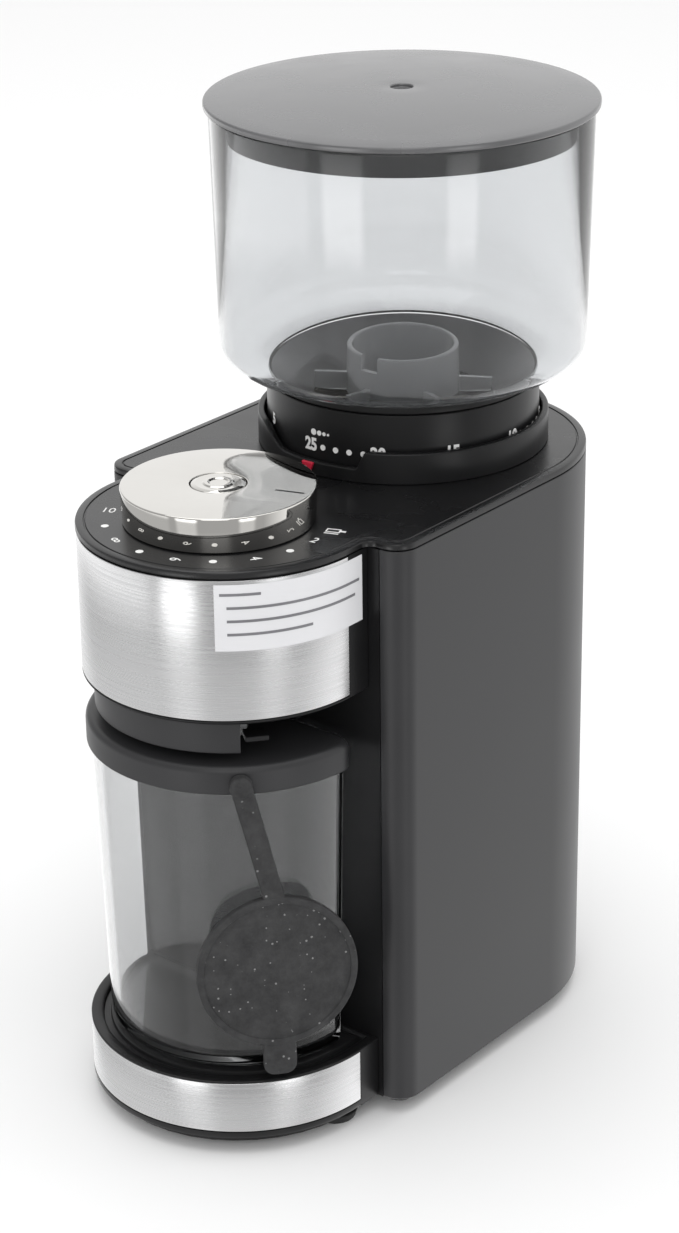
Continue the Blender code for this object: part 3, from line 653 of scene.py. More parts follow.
def end_with_copies(maker: TreeMaker, given: Sockets, spot: Socket, shape: Socket,
                    turn: Socket) -> bpy.types.NodeTree:
    """Finish a geometry tree with copies of a shape, set out round its centre.

    Args:
        maker: the tree's maker.
        given: the tree's inputs, with a Count, a Centre and a Finish.
        spot: where each copy goes, from the centre.
        shape: what is copied.
        turn: how each copy is turned.

    Returns:
        The node tree.
    """
    points = maker.add("GeometryNodePoints", {
        "Count": given["Count"], "Position": maker.moved(spot, given["Centre"])})
    copies = maker.add("GeometryNodeInstanceOnPoints", {
        "Points": points.outputs[0], "Instance": shape, "Rotation": turn})
    return end_geometry_tree(maker, copies.outputs[0], given["Finish"])


def turning_tree() -> bpy.types.NodeTree:
    """The tree that turns a row of profile points round an upright axis.

    Returns:
        The node tree, whose points come from the mesh that it is put on.
    """
    maker, given = new_geometry_tree("turned_piece", Profile=SHAPE, Steps=WHOLE, Axis=VECTOR,
                                     Finish=PAINT)
    size = maker.add("GeometryNodeAttributeDomainSize", {"Geometry": given["Profile"]})
    count = size.outputs["Point Count"]
    grid = maker.add("GeometryNodeMeshGrid", {
        "Vertices X": maker.plus(given["Steps"], 1.0), "Vertices Y": count})
    index = maker.add("GeometryNodeInputIndex").outputs[0]
    turn = maker.maths("FLOOR", maker.maths("DIVIDE", index, count))
    angle = maker.times(maker.maths("DIVIDE", turn, given["Steps"]), 2 * math.pi)
    position = maker.add("GeometryNodeInputPosition").outputs[0]
    sample = maker.add("GeometryNodeSampleIndex", data_type="FLOAT_VECTOR", domain="POINT")
    for label, source in (("Geometry", given["Profile"]), ("Value", position),
                          ("Index", maker.maths("MODULO", index, count))):
        maker.tree.links.new(source, sample.inputs[label])
    split = maker.add("ShaderNodeSeparateXYZ", {0: sample.outputs[0]}).outputs
    point = maker.vector(X=maker.times(split["X"], maker.maths("COSINE", angle)),
                         Y=maker.times(split["X"], maker.maths("SINE", angle)), Z=split["Z"])
    turned = maker.add("GeometryNodeSetPosition", {
        "Geometry": grid.outputs["Mesh"], "Position": maker.moved(point, given["Axis"])})
    welded = maker.add("GeometryNodeMergeByDistance", {
        "Geometry": turned.outputs[0], "Distance": WELD})
    return end_geometry_tree(maker, welded.outputs[0], given["Finish"])


def dots_tree() -> bpy.types.NodeTree:
    """The tree that puts round dots along a circle, lying flat or facing outwards.

    Returns:
        The node tree.
    """
    maker, given = new_geometry_tree(
        "dots_round_a_circle", Count=WHOLE, First_Angle=FLOAT, Step_Angle=FLOAT,
        Circle_Radius=FLOAT, Centre=VECTOR, Dot_Radius=FLOAT, Dot_Depth=FLOAT, Tip=FLOAT,
        Finish=PAINT)
    index = maker.add("GeometryNodeInputIndex").outputs[0]
    angle = maker.plus(maker.times(index, given["Step Angle"]), given["First Angle"])
    across = maker.times(maker.maths("SINE", angle), given["Circle Radius"])
    ahead = maker.times(maker.maths("COSINE", angle), given["Circle Radius"])
    dot = maker.add("GeometryNodeMeshCylinder", {
        "Vertices": DOT_SIDES, "Radius": given["Dot Radius"], "Depth": given["Dot Depth"]})
    return end_with_copies(maker, given, maker.vector(X=across, Y=maker.times(ahead, -1.0)),
                           dot.outputs["Mesh"], maker.vector(X=given["Tip"], Z=angle))


def ribs_tree() -> bpy.types.NodeTree:
    """The tree that stands straight ribs round an axis, like spokes.

    Returns:
        The node tree.
    """
    maker, given = new_geometry_tree(
        "ribs_round_an_axis", Count=WHOLE, First_Angle=FLOAT, Inner_Radius=FLOAT,
        Outer_Radius=FLOAT, Thickness=FLOAT, Height=FLOAT, Centre=VECTOR, Finish=PAINT)
    index = maker.add("GeometryNodeInputIndex").outputs[0]
    share = maker.maths("DIVIDE", index, given["Count"])
    angle = maker.plus(maker.times(share, 2 * math.pi), given["First Angle"])
    middle = maker.times(maker.plus(given["Inner Radius"], given["Outer Radius"]), 0.5)
    length = maker.maths("SUBTRACT", given["Outer Radius"], given["Inner Radius"])
    spot = maker.vector(X=maker.times(maker.maths("COSINE", angle), middle),
                        Y=maker.times(maker.maths("SINE", angle), middle))
    rib = maker.add("GeometryNodeMeshCube", {
        "Size": maker.vector(X=length, Y=given["Thickness"], Z=given["Height"])})
    return end_with_copies(maker, given, spot, rib.outputs["Mesh"], maker.vector(Z=angle))


def screws_tree() -> bpy.types.NodeTree:
    """The tree that puts a cross-recessed screw at each point of the mesh that it is put on.

    Returns:
        The node tree.
    """
    maker, given = new_geometry_tree(
        "cross_recessed_screws", Places=SHAPE, Head_Radius=FLOAT, Head_Height=FLOAT,
        Shank_Radius=FLOAT, Shank_Length=FLOAT, Finish=PAINT)
    radius, height = given["Head Radius"], given["Head Height"]
    head = maker.add("GeometryNodeMeshCylinder", {"Vertices": 32, "Radius": radius,
                                                  "Depth": height})
    long, short = maker.times(radius, RECESS_LENGTH), maker.times(radius, RECESS_WIDTH)
    cross = maker.add("GeometryNodeJoinGeometry")
    for across, along in ((long, short), (short, long)):
        bar = maker.add("GeometryNodeMeshCube",
                        {"Size": maker.vector(X=across, Y=along, Z=height)})
        maker.tree.links.new(bar.outputs["Mesh"], cross.inputs[0])
    lowered = maker.add("GeometryNodeTransform", {
        "Geometry": cross.outputs[0],
        "Translation": maker.vector(Z=maker.times(height, -RECESS_DEPTH))})
    cut = maker.add("GeometryNodeMeshBoolean", {
        "Mesh 1": head.outputs["Mesh"], "Mesh 2": lowered.outputs[0]}, operation="DIFFERENCE")
    shank = maker.add("GeometryNodeMeshCylinder", {
        "Vertices": 24, "Radius": given["Shank Radius"], "Depth": given["Shank Length"]})
    lift = maker.times(maker.plus(given["Shank Length"], height), 0.5)
    raised = maker.add("GeometryNodeTransform", {
        "Geometry": shank.outputs["Mesh"], "Translation": maker.vector(Z=lift)})
    screw = maker.add("GeometryNodeJoinGeometry")
    for half in (cut.outputs["Mesh"], raised.outputs[0]):
        maker.tree.links.new(half, screw.inputs[0])
    copies = maker.add("GeometryNodeInstanceOnPoints", {
        "Points": given["Places"], "Instance": screw.outputs[0]})
    return end_geometry_tree(maker, copies.outputs[0], given["Finish"])


class NodeShapes:
    """The geometry trees, each built once, and the way to run one."""

    def __init__(self) -> None:
        """Build the trees."""
        self.turning = turning_tree()
        self.dots = dots_tree()
        self.ribs = ribs_tree()
        self.screws = screws_tree()

    def run(self, tree: bpy.types.NodeTree, points: Sequence[Sequence[float]],
            **values: object) -> bpy.types.Mesh:
        """Run a tree and keep its result.

        Args:
            tree: the tree.
            points: the points of the mesh that it is put on.
            values: a value for each of its inputs, with _ for a space in the name.

        Returns:
            A plain mesh.
        """
        mesh = bpy.data.meshes.new(tree.name)
        mesh.from_pydata([tuple(point) for point in points], [], [])
        item = linked(tree.name, mesh)
        modifier = item.modifiers.new("shape", "NODES")
        modifier.node_group = tree
        named = spaced(values)
        for socket in tree.interface.items_tree:
            if socket.in_out == "INPUT" and socket.name in named:
                modifier[socket.identifier] = named[socket.name]
        return evaluated(item)

    def turned(self, profile: Outline, axis: Point, finish: bpy.types.Material) -> bpy.types.Mesh:
        """Turn a profile round an upright axis.

        Args:
            profile: (radius, height) points; one that starts and ends on the axis stays open there,
                and any other is closed into a ring.
            axis: where the axis stands.
            finish: its material.

        Returns:
            A closed mesh.
        """
        points = [(radius, 0.0, height) for radius, height in profile]
        if profile[0][0] > 0.0 or profile[-1][0] > 0.0:
            points.append(points[0])
        return tidy(self.run(self.turning, points, Steps=ROUND_STEPS, Axis=(*axis, 0.0),
                             Finish=finish))


# ---------------------------------------------------------------- shader groups

def new_shader_group(name: str, inputs: Sequence[str],
                     outputs: Sequence[str]) -> tuple[TreeMaker, Sockets, Socket]:
    """Start a shader group with number inputs and outputs.

    Args:
        name: the group's name.
        inputs: names of its inputs.
        outputs: names of its outputs.

    Returns:
        The maker, the group's inputs and the point on the object in metres.
    """
    maker, given = new_tree(name, "ShaderNodeTree", dict.fromkeys(inputs, FLOAT),
                            dict.fromkeys(outputs, FLOAT))
    return maker, given, maker.add("ShaderNodeTexCoord").outputs["Object"]


def moulded_grain_group() -> bpy.types.NodeTree:
    """Fine moulded grain, with a slow change of tone over it.

    Returns:
        A group that puts out a height and a tone, both from 0 to 1.
    """
    maker, given, where = new_shader_group("moulded_grain", ["Grain Scale", "Tone Scale"],
                                           ["Height", "Tone"])
    maker.add("NodeGroupOutput", {
        "Height": maker.noise(where, given["Grain Scale"], Detail=2.0, Roughness=0.6),
        "Tone": maker.noise(where, given["Tone Scale"], Detail=3.0, Roughness=0.5)})
    return maker.tree


def brushing_group() -> bpy.types.NodeTree:
    """Fine level brush lines that run round an upright piece.

    Returns:
        A group that puts out a height and a tone, both from 0 to 1.
    """
    maker, given, where = new_shader_group("level_brushing", ["Line Scale", "Length Scale"],
                                           ["Height", "Tone"])
    split = maker.add("ShaderNodeSeparateXYZ", {0: where}).outputs
    stretched = maker.vector(**{
        axis: maker.times(split[axis], given[scale])
        for axis, scale in (("X", "Length Scale"), ("Y", "Length Scale"), ("Z", "Line Scale"))})
    maker.add("NodeGroupOutput", {
        "Height": maker.noise(stretched, 1.0, Detail=3.0, Roughness=0.7),
        "Tone": maker.noise(stretched, 0.22, Detail=1.0)})
    return maker.tree


def dust_group() -> bpy.types.NodeTree:
    """Scattered pale specks and a powdery bloom.

    Returns:
        A group that puts out a speck mask and a bloom, both from 0 to 1.
    """
    maker, given, where = new_shader_group("settled_dust", ["Speck Scale", "Speck Share"],
                                           ["Specks", "Bloom"])
    cells = maker.add("ShaderNodeTexVoronoi", {"Vector": where, "Scale": given["Speck Scale"]})
    chance = maker.add("ShaderNodeSeparateColor", {0: cells.outputs["Color"]}).outputs
    chosen = maker.maths("LESS_THAN", chance[0], given["Speck Share"])
    inside = maker.maths("LESS_THAN", cells.outputs["Distance"], maker.times(chance[1], 0.34))
    maker.add("NodeGroupOutput", {
        "Specks": maker.times(chosen, inside),
        "Bloom": maker.noise(where, 160.0, Detail=4.0, Roughness=0.75)})
    return maker.tree


def handling_group() -> bpy.types.NodeTree:
    """Faint wiped and fingered patches on a polished surface.

    Returns:
        A group that puts out a mask from 0 to 1.
    """
    maker, given, where = new_shader_group("handling_marks", ["Patch Scale"], ["Mask"])
    patch = maker.noise(where, given["Patch Scale"], Detail=5.0, Roughness=0.62, Distortion=0.8)
    maker.add("NodeGroupOutput", {"Mask": maker.ramp(patch, (0.45, 0.75))})
    return maker.tree


class ShaderGroups:
    """The shader groups that the finishes share, each built once."""

    def __init__(self) -> None:
        """Build the groups."""
        self.grain = moulded_grain_group()
        self.brushing = brushing_group()
        self.dust = dust_group()
        self.handling = handling_group()


# ---------------------------------------------------------------- finishes

@dataclass(frozen=True)
class Finish:
    """What every finish has: a name, a colour and how rough it is."""

    name: str
    colour: Colour
    roughness: float

    def scaled(self, share: float) -> Colour:
        """The finish's colour made lighter or darker by a share."""
        return tuple(min(1.0, part * share) for part in self.colour)


class MaterialMaker(TreeMaker):
    """Builds a finish's material round its own Principled shader."""

    def __init__(self, finish: Finish, **values: float) -> None:
        """Start a material.

        Args:
            finish: the finish that it is for.
            values: the shader's own inputs, with _ for a space in the name.
        """
        self.finish = finish
        self.material = bpy.data.materials.new(finish.name)
        self.material.use_nodes = True
        super().__init__(self.material.node_tree)
        self.inputs = self.tree.nodes["Principled BSDF"].inputs
        self.inputs["Base Color"].default_value = (*finish.colour, 1.0)
        self.inputs["Roughness"].default_value = finish.roughness
        for label, value in spaced(values).items():
            self.inputs[label].default_value = value

    def use(self, group: bpy.types.NodeTree, **values: float) -> Sockets:
        """Place a shader group, set its inputs and return what it puts out."""
        return self.add("ShaderNodeGroup", spaced(values), node_tree=group).outputs

    def spread(self, mask: Socket, low: float = 0.0, high: float = 1.0) -> Socket:
        """Map the middle of a noise, where nearly all of it lies, to a range of values."""
        return self.ramp(mask, NOISE_SPAN, (low, high))

    def tint(self, mask: Socket, other: Colour) -> None:
        """Go from the finish's colour to another along a mask."""
        mix = self.add("ShaderNodeMix", {0: mask, 6: (*self.finish.colour, 1.0), 7: (*other, 1.0)},
                       data_type="RGBA")
        self.tree.links.new(mix.outputs[2], self.inputs["Base Color"])

    def roughen(self, mask: Socket, low: float, high: float,
                span: Sequence[float] = NOISE_SPAN) -> None:
        """Vary the roughness along a mask, from low to high about the finish's own."""
        own = self.finish.roughness
        self.tree.links.new(self.ramp(mask, span, (own + low, own + high)),
                            self.inputs["Roughness"])

    def bump(self, height: Socket, depth: float, strength: float) -> None:
        """Raise the surface by a height of 0 to 1."""
        node = self.add("ShaderNodeBump", {"Height": height, "Distance": depth,
                                           "Strength": strength})
        self.tree.links.new(node.outputs[0], self.inputs["Normal"])


@dataclass(frozen=True)
class MouldedPlastic(Finish):
    """Satin moulded plastic with a fine grain."""

    grain_scale: float = 2600.0
    tone_scale: float = 60.0
    grain_depth: float = 0.0000025
    tone_change: float = 0.25
    shine: float = 0.3

    def material(self, groups: ShaderGroups) -> bpy.types.Material:
        """Build the material."""
        maker = MaterialMaker(self, Specular_IOR_Level=self.shine)
        grain = maker.use(groups.grain, Grain_Scale=self.grain_scale, Tone_Scale=self.tone_scale)
        maker.tint(maker.spread(grain["Tone"]), self.scaled(1.0 + self.tone_change))
        maker.roughen(grain["Tone"], -0.03, 0.03)
        maker.bump(grain["Height"], self.grain_depth, 0.5)
        return maker.material


@dataclass(frozen=True)
class BrushedMetal(Finish):
    """Sheet metal brushed along its length."""

    line_scale: float = 7000.0
    length_scale: float = 34.0
    line_depth: float = 0.000010

    def material(self, groups: ShaderGroups) -> bpy.types.Material:
        """Build the material."""
        maker = MaterialMaker(self, Metallic=1.0)
        lines = maker.use(groups.brushing, Line_Scale=self.line_scale,
                          Length_Scale=self.length_scale)
        maker.tint(maker.spread(lines["Height"]), self.scaled(0.86))
        maker.roughen(lines["Tone"], -0.04, 0.05)
        maker.bump(lines["Height"], self.line_depth, 0.7)
        return maker.material


@dataclass(frozen=True)
class PolishedMetal(Finish):
    """Mirror plating with faint handling marks."""

    patch_scale: float = 45.0

    def material(self, groups: ShaderGroups) -> bpy.types.Material:
        """Build the material."""
        maker = MaterialMaker(self, Metallic=1.0)
        marks = maker.use(groups.handling, Patch_Scale=self.patch_scale)
        maker.roughen(marks["Mask"], 0.0, 0.05, (0.0, 1.0))
        maker.tint(marks["Mask"], self.scaled(0.97))
        return maker.material


@dataclass(frozen=True)
class ClearPlastic(Finish):
    """Clear smoky plastic, polished, with faint handling marks."""

    bend: float = 1.46
    clearness: float = 1.0
    patch_scale: float = 30.0

    def material(self, groups: ShaderGroups) -> bpy.types.Material:
        """Build the material."""
        maker = MaterialMaker(self, Transmission_Weight=self.clearness, IOR=self.bend)
        marks = maker.use(groups.handling, Patch_Scale=self.patch_scale)
        maker.roughen(marks["Mask"], 0.0, 0.03, (0.0, 1.0))
        maker.tint(marks["Mask"], self.scaled(0.985))
        return maker.material


@dataclass(frozen=True)
class DustyRubber(Finish):
    """Soft matte rubber or silicone that holds dust."""

    speck_scale: float = 900.0
    speck_share: float = 0.16
    speck_cover: float = 0.55
    bloom_cover: float = 0.10
    dust_colour: Colour = (0.30, 0.30, 0.30)

    def material(self, groups: ShaderGroups) -> bpy.types.Material:
        """Build the material."""
        maker = MaterialMaker(self, Specular_IOR_Level=0.3)
        dust = maker.use(groups.dust, Speck_Scale=self.speck_scale, Speck_Share=self.speck_share)
        bloom = maker.spread(dust["Bloom"], 0.0, self.bloom_cover)
        specks = maker.times(dust["Specks"], self.speck_cover)
        maker.tint(maker.plus(bloom, specks), self.dust_colour)
        maker.roughen(dust["Bloom"], -0.08, 0.05)
        grain = maker.use(groups.grain, Grain_Scale=1500.0, Tone_Scale=80.0)
        maker.bump(grain["Height"], 0.00004, 0.6)
        return maker.material


@dataclass(frozen=True)
class WorkedMetal(Finish):
    """Cast, ground or turned metal of the inner pieces."""

    grain_scale: float = 900.0
    grain_depth: float = 0.00003

    def material(self, groups: ShaderGroups) -> bpy.types.Material:
        """Build the material."""
        maker = MaterialMaker(self, Metallic=1.0)
        grain = maker.use(groups.grain, Grain_Scale=self.grain_scale, Tone_Scale=90.0)
        maker.tint(maker.spread(grain["Tone"]), self.scaled(0.75))
        maker.roughen(grain["Height"], -0.06, 0.08)
        maker.bump(grain["Height"], self.grain_depth, 0.4)
        return maker.material


class Paintbox:
    """Every finish of the grinder, each material made once."""

    FINISHES: tuple[Finish, ...] = (
        MouldedPlastic("satin_black", (0.0085, 0.0085, 0.009), 0.34),
        MouldedPlastic("column_black", (0.022, 0.022, 0.0235), 0.42, tone_scale=22.0, shine=0.45),
        MouldedPlastic("cover_black", (0.008, 0.008, 0.0085), 0.28, shine=0.5),
        MouldedPlastic("lid_grey", (0.078, 0.078, 0.081), 0.26, grain_scale=3200.0, shine=1.0),
        BrushedMetal("brushed_band", (0.70, 0.70, 0.705), 0.27),
        PolishedMetal("polished_chrome", (0.69, 0.675, 0.645), 0.025),
        ClearPlastic("smoky_clear", (0.80, 0.81, 0.82), 0.012),
        ClearPlastic("jar_clear", (0.80, 0.805, 0.81), 0.02),
        ClearPlastic("guard_clear", (0.82, 0.825, 0.83), 0.05, clearness=0.50),
        MouldedPlastic("funnel_grey", (0.19, 0.19, 0.195), 0.36, shine=0.6),
        DustyRubber("foot_rubber", (0.010, 0.010, 0.010), 0.82, speck_share=0.05),
        DustyRubber("cap_silicone", (0.022, 0.022, 0.023), 0.72),
        MouldedPlastic("pointer_red", (0.55, 0.02, 0.05), 0.38),
        MouldedPlastic("white_print", (0.80, 0.80, 0.79), 0.50, tone_change=0.05),
        MouldedPlastic("label_paper", (0.66, 0.66, 0.675), 0.50, tone_change=0.04, shine=0.1),
        MouldedPlastic("label_ink", (0.16, 0.16, 0.17), 0.55),
        WorkedMetal("cast_alloy", (0.45, 0.45, 0.46), 0.50),
        WorkedMetal("ground_steel", (0.34, 0.34, 0.35), 0.32, grain_scale=2400.0,
                    grain_depth=0.00001),
        WorkedMetal("warm_bronze", (0.52, 0.33, 0.15), 0.38),
        MouldedPlastic("pale_nylon", (0.66, 0.65, 0.60), 0.52, tone_change=0.06),
        MouldedPlastic("board_green", (0.015, 0.11, 0.05), 0.45, grain_scale=700.0),
    )
    BY_SLOT: dict[Slot, str] = {
        Slot.BLACK: "satin_black", Slot.GREY: "column_black", Slot.STEEL: "brushed_band",
        Slot.CHROME: "polished_chrome", Slot.CLEAR: "smoky_clear", Slot.RUBBER: "foot_rubber",
        Slot.SILICONE: "cap_silicone", Slot.RED: "pointer_red", Slot.DIE_CAST: "cast_alloy",
        Slot.TOOL_STEEL: "ground_steel", Slot.NYLON: "pale_nylon", Slot.BRONZE: "warm_bronze",
        Slot.BOARD: "board_green",
    }

    def __init__(self) -> None:
        """Build the shared groups and every material."""
        groups = ShaderGroups()
        self.materials = {finish.name: finish.material(groups) for finish in self.FINISHES}

    def __getitem__(self, name: str) -> bpy.types.Material:
        """The material of a finish."""
        return self.materials[name]


# ---------------------------------------------------------------- sub-assemblies

@dataclass
class Bench:
    """What every sub-assembly works with."""

    paints: Paintbox
    shapes: NodeShapes


@dataclass
class SubAssembly:
    """One group of pieces that belong together."""

    bench: Bench

    def add(self, name: str, mesh: bpy.types.Mesh, finish: str, body: Optional[Body], slot: Slot,
            replaces: Sequence[str] = ()) -> bpy.types.Object:
        """Put a finished mesh in the scene.

        Args:
            name: the piece's name.
            mesh: its mesh, in place.
            finish: its finish.
            body: the body that it rides on, or None for a piece that is left unattached.
            slot: the record's material slot that it belongs to; not used.
            replaces: the nodes that it stands for.

        Returns:
            The piece.
        """
        mesh.name = name
        mesh.materials.clear()
        mesh.materials.append(self.bench.paints[finish])
        piece = linked(name, mesh)
        if body is not None:
            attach(piece, body.value)
        if replaces:
            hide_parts(*replaces)
        log.info("%s: %d faces, on %s", name, len(mesh.polygons),
                 body.value if body else "two bodies")
        return piece

    def dress(self, node: str, mesh: bpy.types.Mesh, finish: str, body: Body, slot: Slot) -> None:
        """Put a finished mesh in the scene in the place of one node."""
        self.add(f"{node}_visual", mesh, finish, body, slot, [node])

    def turned(self, corners: Sequence[Corner], axis: Point, finish: str) -> bpy.types.Mesh:
        """Turn a profile of (radius, height, rounding) corners round an axis."""
        return self.bench.shapes.turned(soften(corners), axis, self.bench.paints[finish])

    def dress_turned(self, node: str, corners: Sequence[Corner], finish: str, body: Body,
                     slot: Slot) -> None:
        """Turn a profile round a node's own axis, in the place of the node."""
        mesh = self.turned(corners, Envelope.of(node).axis, finish)
        self.dress(node, mesh, finish, body, slot)

    def dots(self, axis: Point, height: float, circle_radius: float, first_deg: float,
             dot_radius: float, depth: float, tip_deg: float = 0.0, count: int = 1,
             step_deg: float = 0.0) -> bpy.types.Mesh:
        """Printed dots along a circle.

        Args:
            axis: the circle's axis.
            height: the height of the dots' middles.
            circle_radius: the circle's radius.
            first_deg: where the first one is, from straight ahead towards +X.
            dot_radius: the radius of each dot.
            depth: how thick each is.
            tip_deg: how far each tips up from lying flat.
            count: how many there are.
            step_deg: the angle from each to the next.

        Returns:
            The mesh.
        """
        shapes = self.bench.shapes
        return shapes.run(
            shapes.dots, [(0, 0, 0)], Count=count, First_Angle=math.radians(first_deg),
            Step_Angle=math.radians(step_deg), Circle_Radius=circle_radius,
            Centre=(*axis, height), Dot_Radius=dot_radius, Dot_Depth=depth,
            Tip=math.radians(tip_deg), Finish=self.bench.paints["white_print"])


@dataclass
class Lid(SubAssembly):
    """The hopper's lid and the plug skirt under it."""

    recess_radius: float = 0.0034
    recess_depth: float = 0.0012
    rim_drop: float = 0.0029
    rim_round: float = 0.0007
    crown_steps: int = 9
    plug_wall: float = 0.0021

    def build(self) -> None:
        """Build both pieces."""
        whole = Envelope.of("hopper_lid")
        crown, edge = whole.top, whole.radius
        corners = [(0.0, crown - self.recess_depth, 0.0),
                   (self.recess_radius, crown - self.recess_depth, 0.0004),
                   (self.recess_radius, crown, 0.0005)]
        for step in range(1, self.crown_steps):
            share = step / self.crown_steps
            corners.append((self.recess_radius + (edge - self.recess_radius) * share,
                            crown - self.rim_drop * share ** 2, 0.0))
        corners += [(edge, crown - self.rim_drop, self.rim_round), (edge, whole.bottom, 0.0006),
                    (0.0, whole.bottom, 0.0)]
        self.dress_turned("hopper_lid", corners, "lid_grey", Body.LID, Slot.GREY)

        plug = Envelope.of("lid_plug")
        inner = plug.radius - self.plug_wall
        skirt = [(plug.radius, plug.top, 0.0), (plug.radius - 0.0003, plug.bottom, 0.0005),
                 (inner, plug.bottom, 0.0005), (inner, plug.top, 0.0)]
        self.dress_turned("lid_plug", skirt, "satin_black", Body.LID, Slot.GREY)


@dataclass
class Hopper(SubAssembly):
    """The clear bean hopper, its neck and the finger guard."""

    wall: float = 0.0023
    low_wall: float = 0.0013
    lip: float = 0.0007
    taper: float = 0.0016
    floor_rise: float = 0.0042
    outer_round: float = 0.0065
    guard_wall: float = 0.0017
    notch_width: float = 0.0062
    notch_depth: float = 0.0045
    notch_reach: float = 0.0060
    fin_thickness: float = 0.0016
    fin_height: float = 0.0055
    tube: float = 0.0176
    throat: float = 0.0280
    throat_levels: tuple[float, float] = (0.2010, 0.2030)
    funnel_foot: float = 0.2050
    skin: float = 0.0002

    def build(self) -> None:
        """Build the shell, the neck and the guard."""
        self.build_shell()
        self.build_neck()
        self.build_guard()

    def build_shell(self) -> None:
        """The clear shell with its rounded bottom corner and sloping floor."""
        shell = Envelope.of("hopper_shell")
        seat = Envelope.of("hopper_neck").radius - 0.0012
        top, low = shell.radius, shell.radius - self.taper
        corner = shell.bottom + self.floor_rise
        corners = [(top, shell.top, 0.0007), (low, corner, self.outer_round),
                   (seat, shell.bottom, 0.0004), (seat, shell.bottom + self.lip, 0.0003),
                   (low - self.low_wall, corner + self.lip, self.outer_round - 0.0010),
                   (top - self.wall, shell.top, 0.0007)]
        self.dress_turned("hopper_shell", corners, "smoky_clear", Body.HOPPER, Slot.CLEAR)

    def build_neck(self) -> None:
        """The black neck: a collar that seats on the ring and a funnel inside it."""
        neck = Envelope.of("hopper_neck")
        ring_top = Envelope.of("adjusting_ring").top + CLEARANCE
        radius, throat, skin = neck.radius, self.throat, self.skin
        below, above = self.throat_levels
        outer, inner = radius - 0.0034, radius - 0.0058
        corners = [(radius - 0.0016, neck.top, 0.0), (radius - 0.0004, neck.top, 0.0004),
                   (radius, ring_top, 0.0004), (outer, ring_top, 0.0),
                   (outer, neck.bottom, 0.0004), (inner, neck.bottom, 0.0004),
                   (inner, self.funnel_foot, 0.0), (throat, below, 0.0006), (throat, above, 0.0006)]
        self.dress_turned("hopper_neck", corners, "satin_black", Body.HOPPER, Slot.BLACK)
        edge = radius - 0.0018
        slope = (neck.top - above) / (radius - 0.0016 - throat)
        rise = above + slope * (edge - throat)
        cone = [(edge, rise + 2 * skin, 0.0), (edge, rise + skin, 0.0),
                (throat, above + skin, 0.0), (throat, above + 2 * skin, 0.0)]
        self.add("hopper_funnel", self.turned(cone, neck.axis, "funnel_grey"), "funnel_grey",
                 Body.HOPPER, Slot.BLACK)

    def build_guard(self) -> None:
        """The clear guard tube with a notch in front and a cross of fins."""
        guard = Envelope.of("hopper_guard")
        tube = self.tube
        corners = [(tube - 0.0003, guard.top, 0.0006), (tube, guard.bottom, 0.0003),
                   (tube - self.guard_wall, guard.bottom, 0.0003),
                   (tube - self.guard_wall - 0.0003, guard.top, 0.0006)]
        sleeve = self.turned(corners, guard.axis, "smoky_clear")
        half = self.notch_width / 2
        front = guard.axis[1] - tube - 0.002
        notch = block((-half, front, guard.top - self.notch_depth),
                      (half, front + self.notch_reach, guard.top + 0.002))
        sleeve = combined(sleeve, [notch], "DIFFERENCE")
        low, high = guard.bottom + 0.0002, guard.bottom + self.fin_height
        shapes = self.bench.shapes
        fins = shapes.run(
            shapes.ribs, [(0, 0, 0)], Count=6, First_Angle=math.radians(30.0),
            Inner_Radius=tube - 0.0012, Outer_Radius=guard.radius, Thickness=self.fin_thickness,
            Height=high - low, Centre=(*guard.axis, (low + high) / 2),
            Finish=self.bench.paints["guard_clear"])
        whole = combined(sleeve, [tidy(fins)], "UNION")
        self.dress("hopper_guard", whole, "guard_clear", Body.HOPPER, Slot.CLEAR)


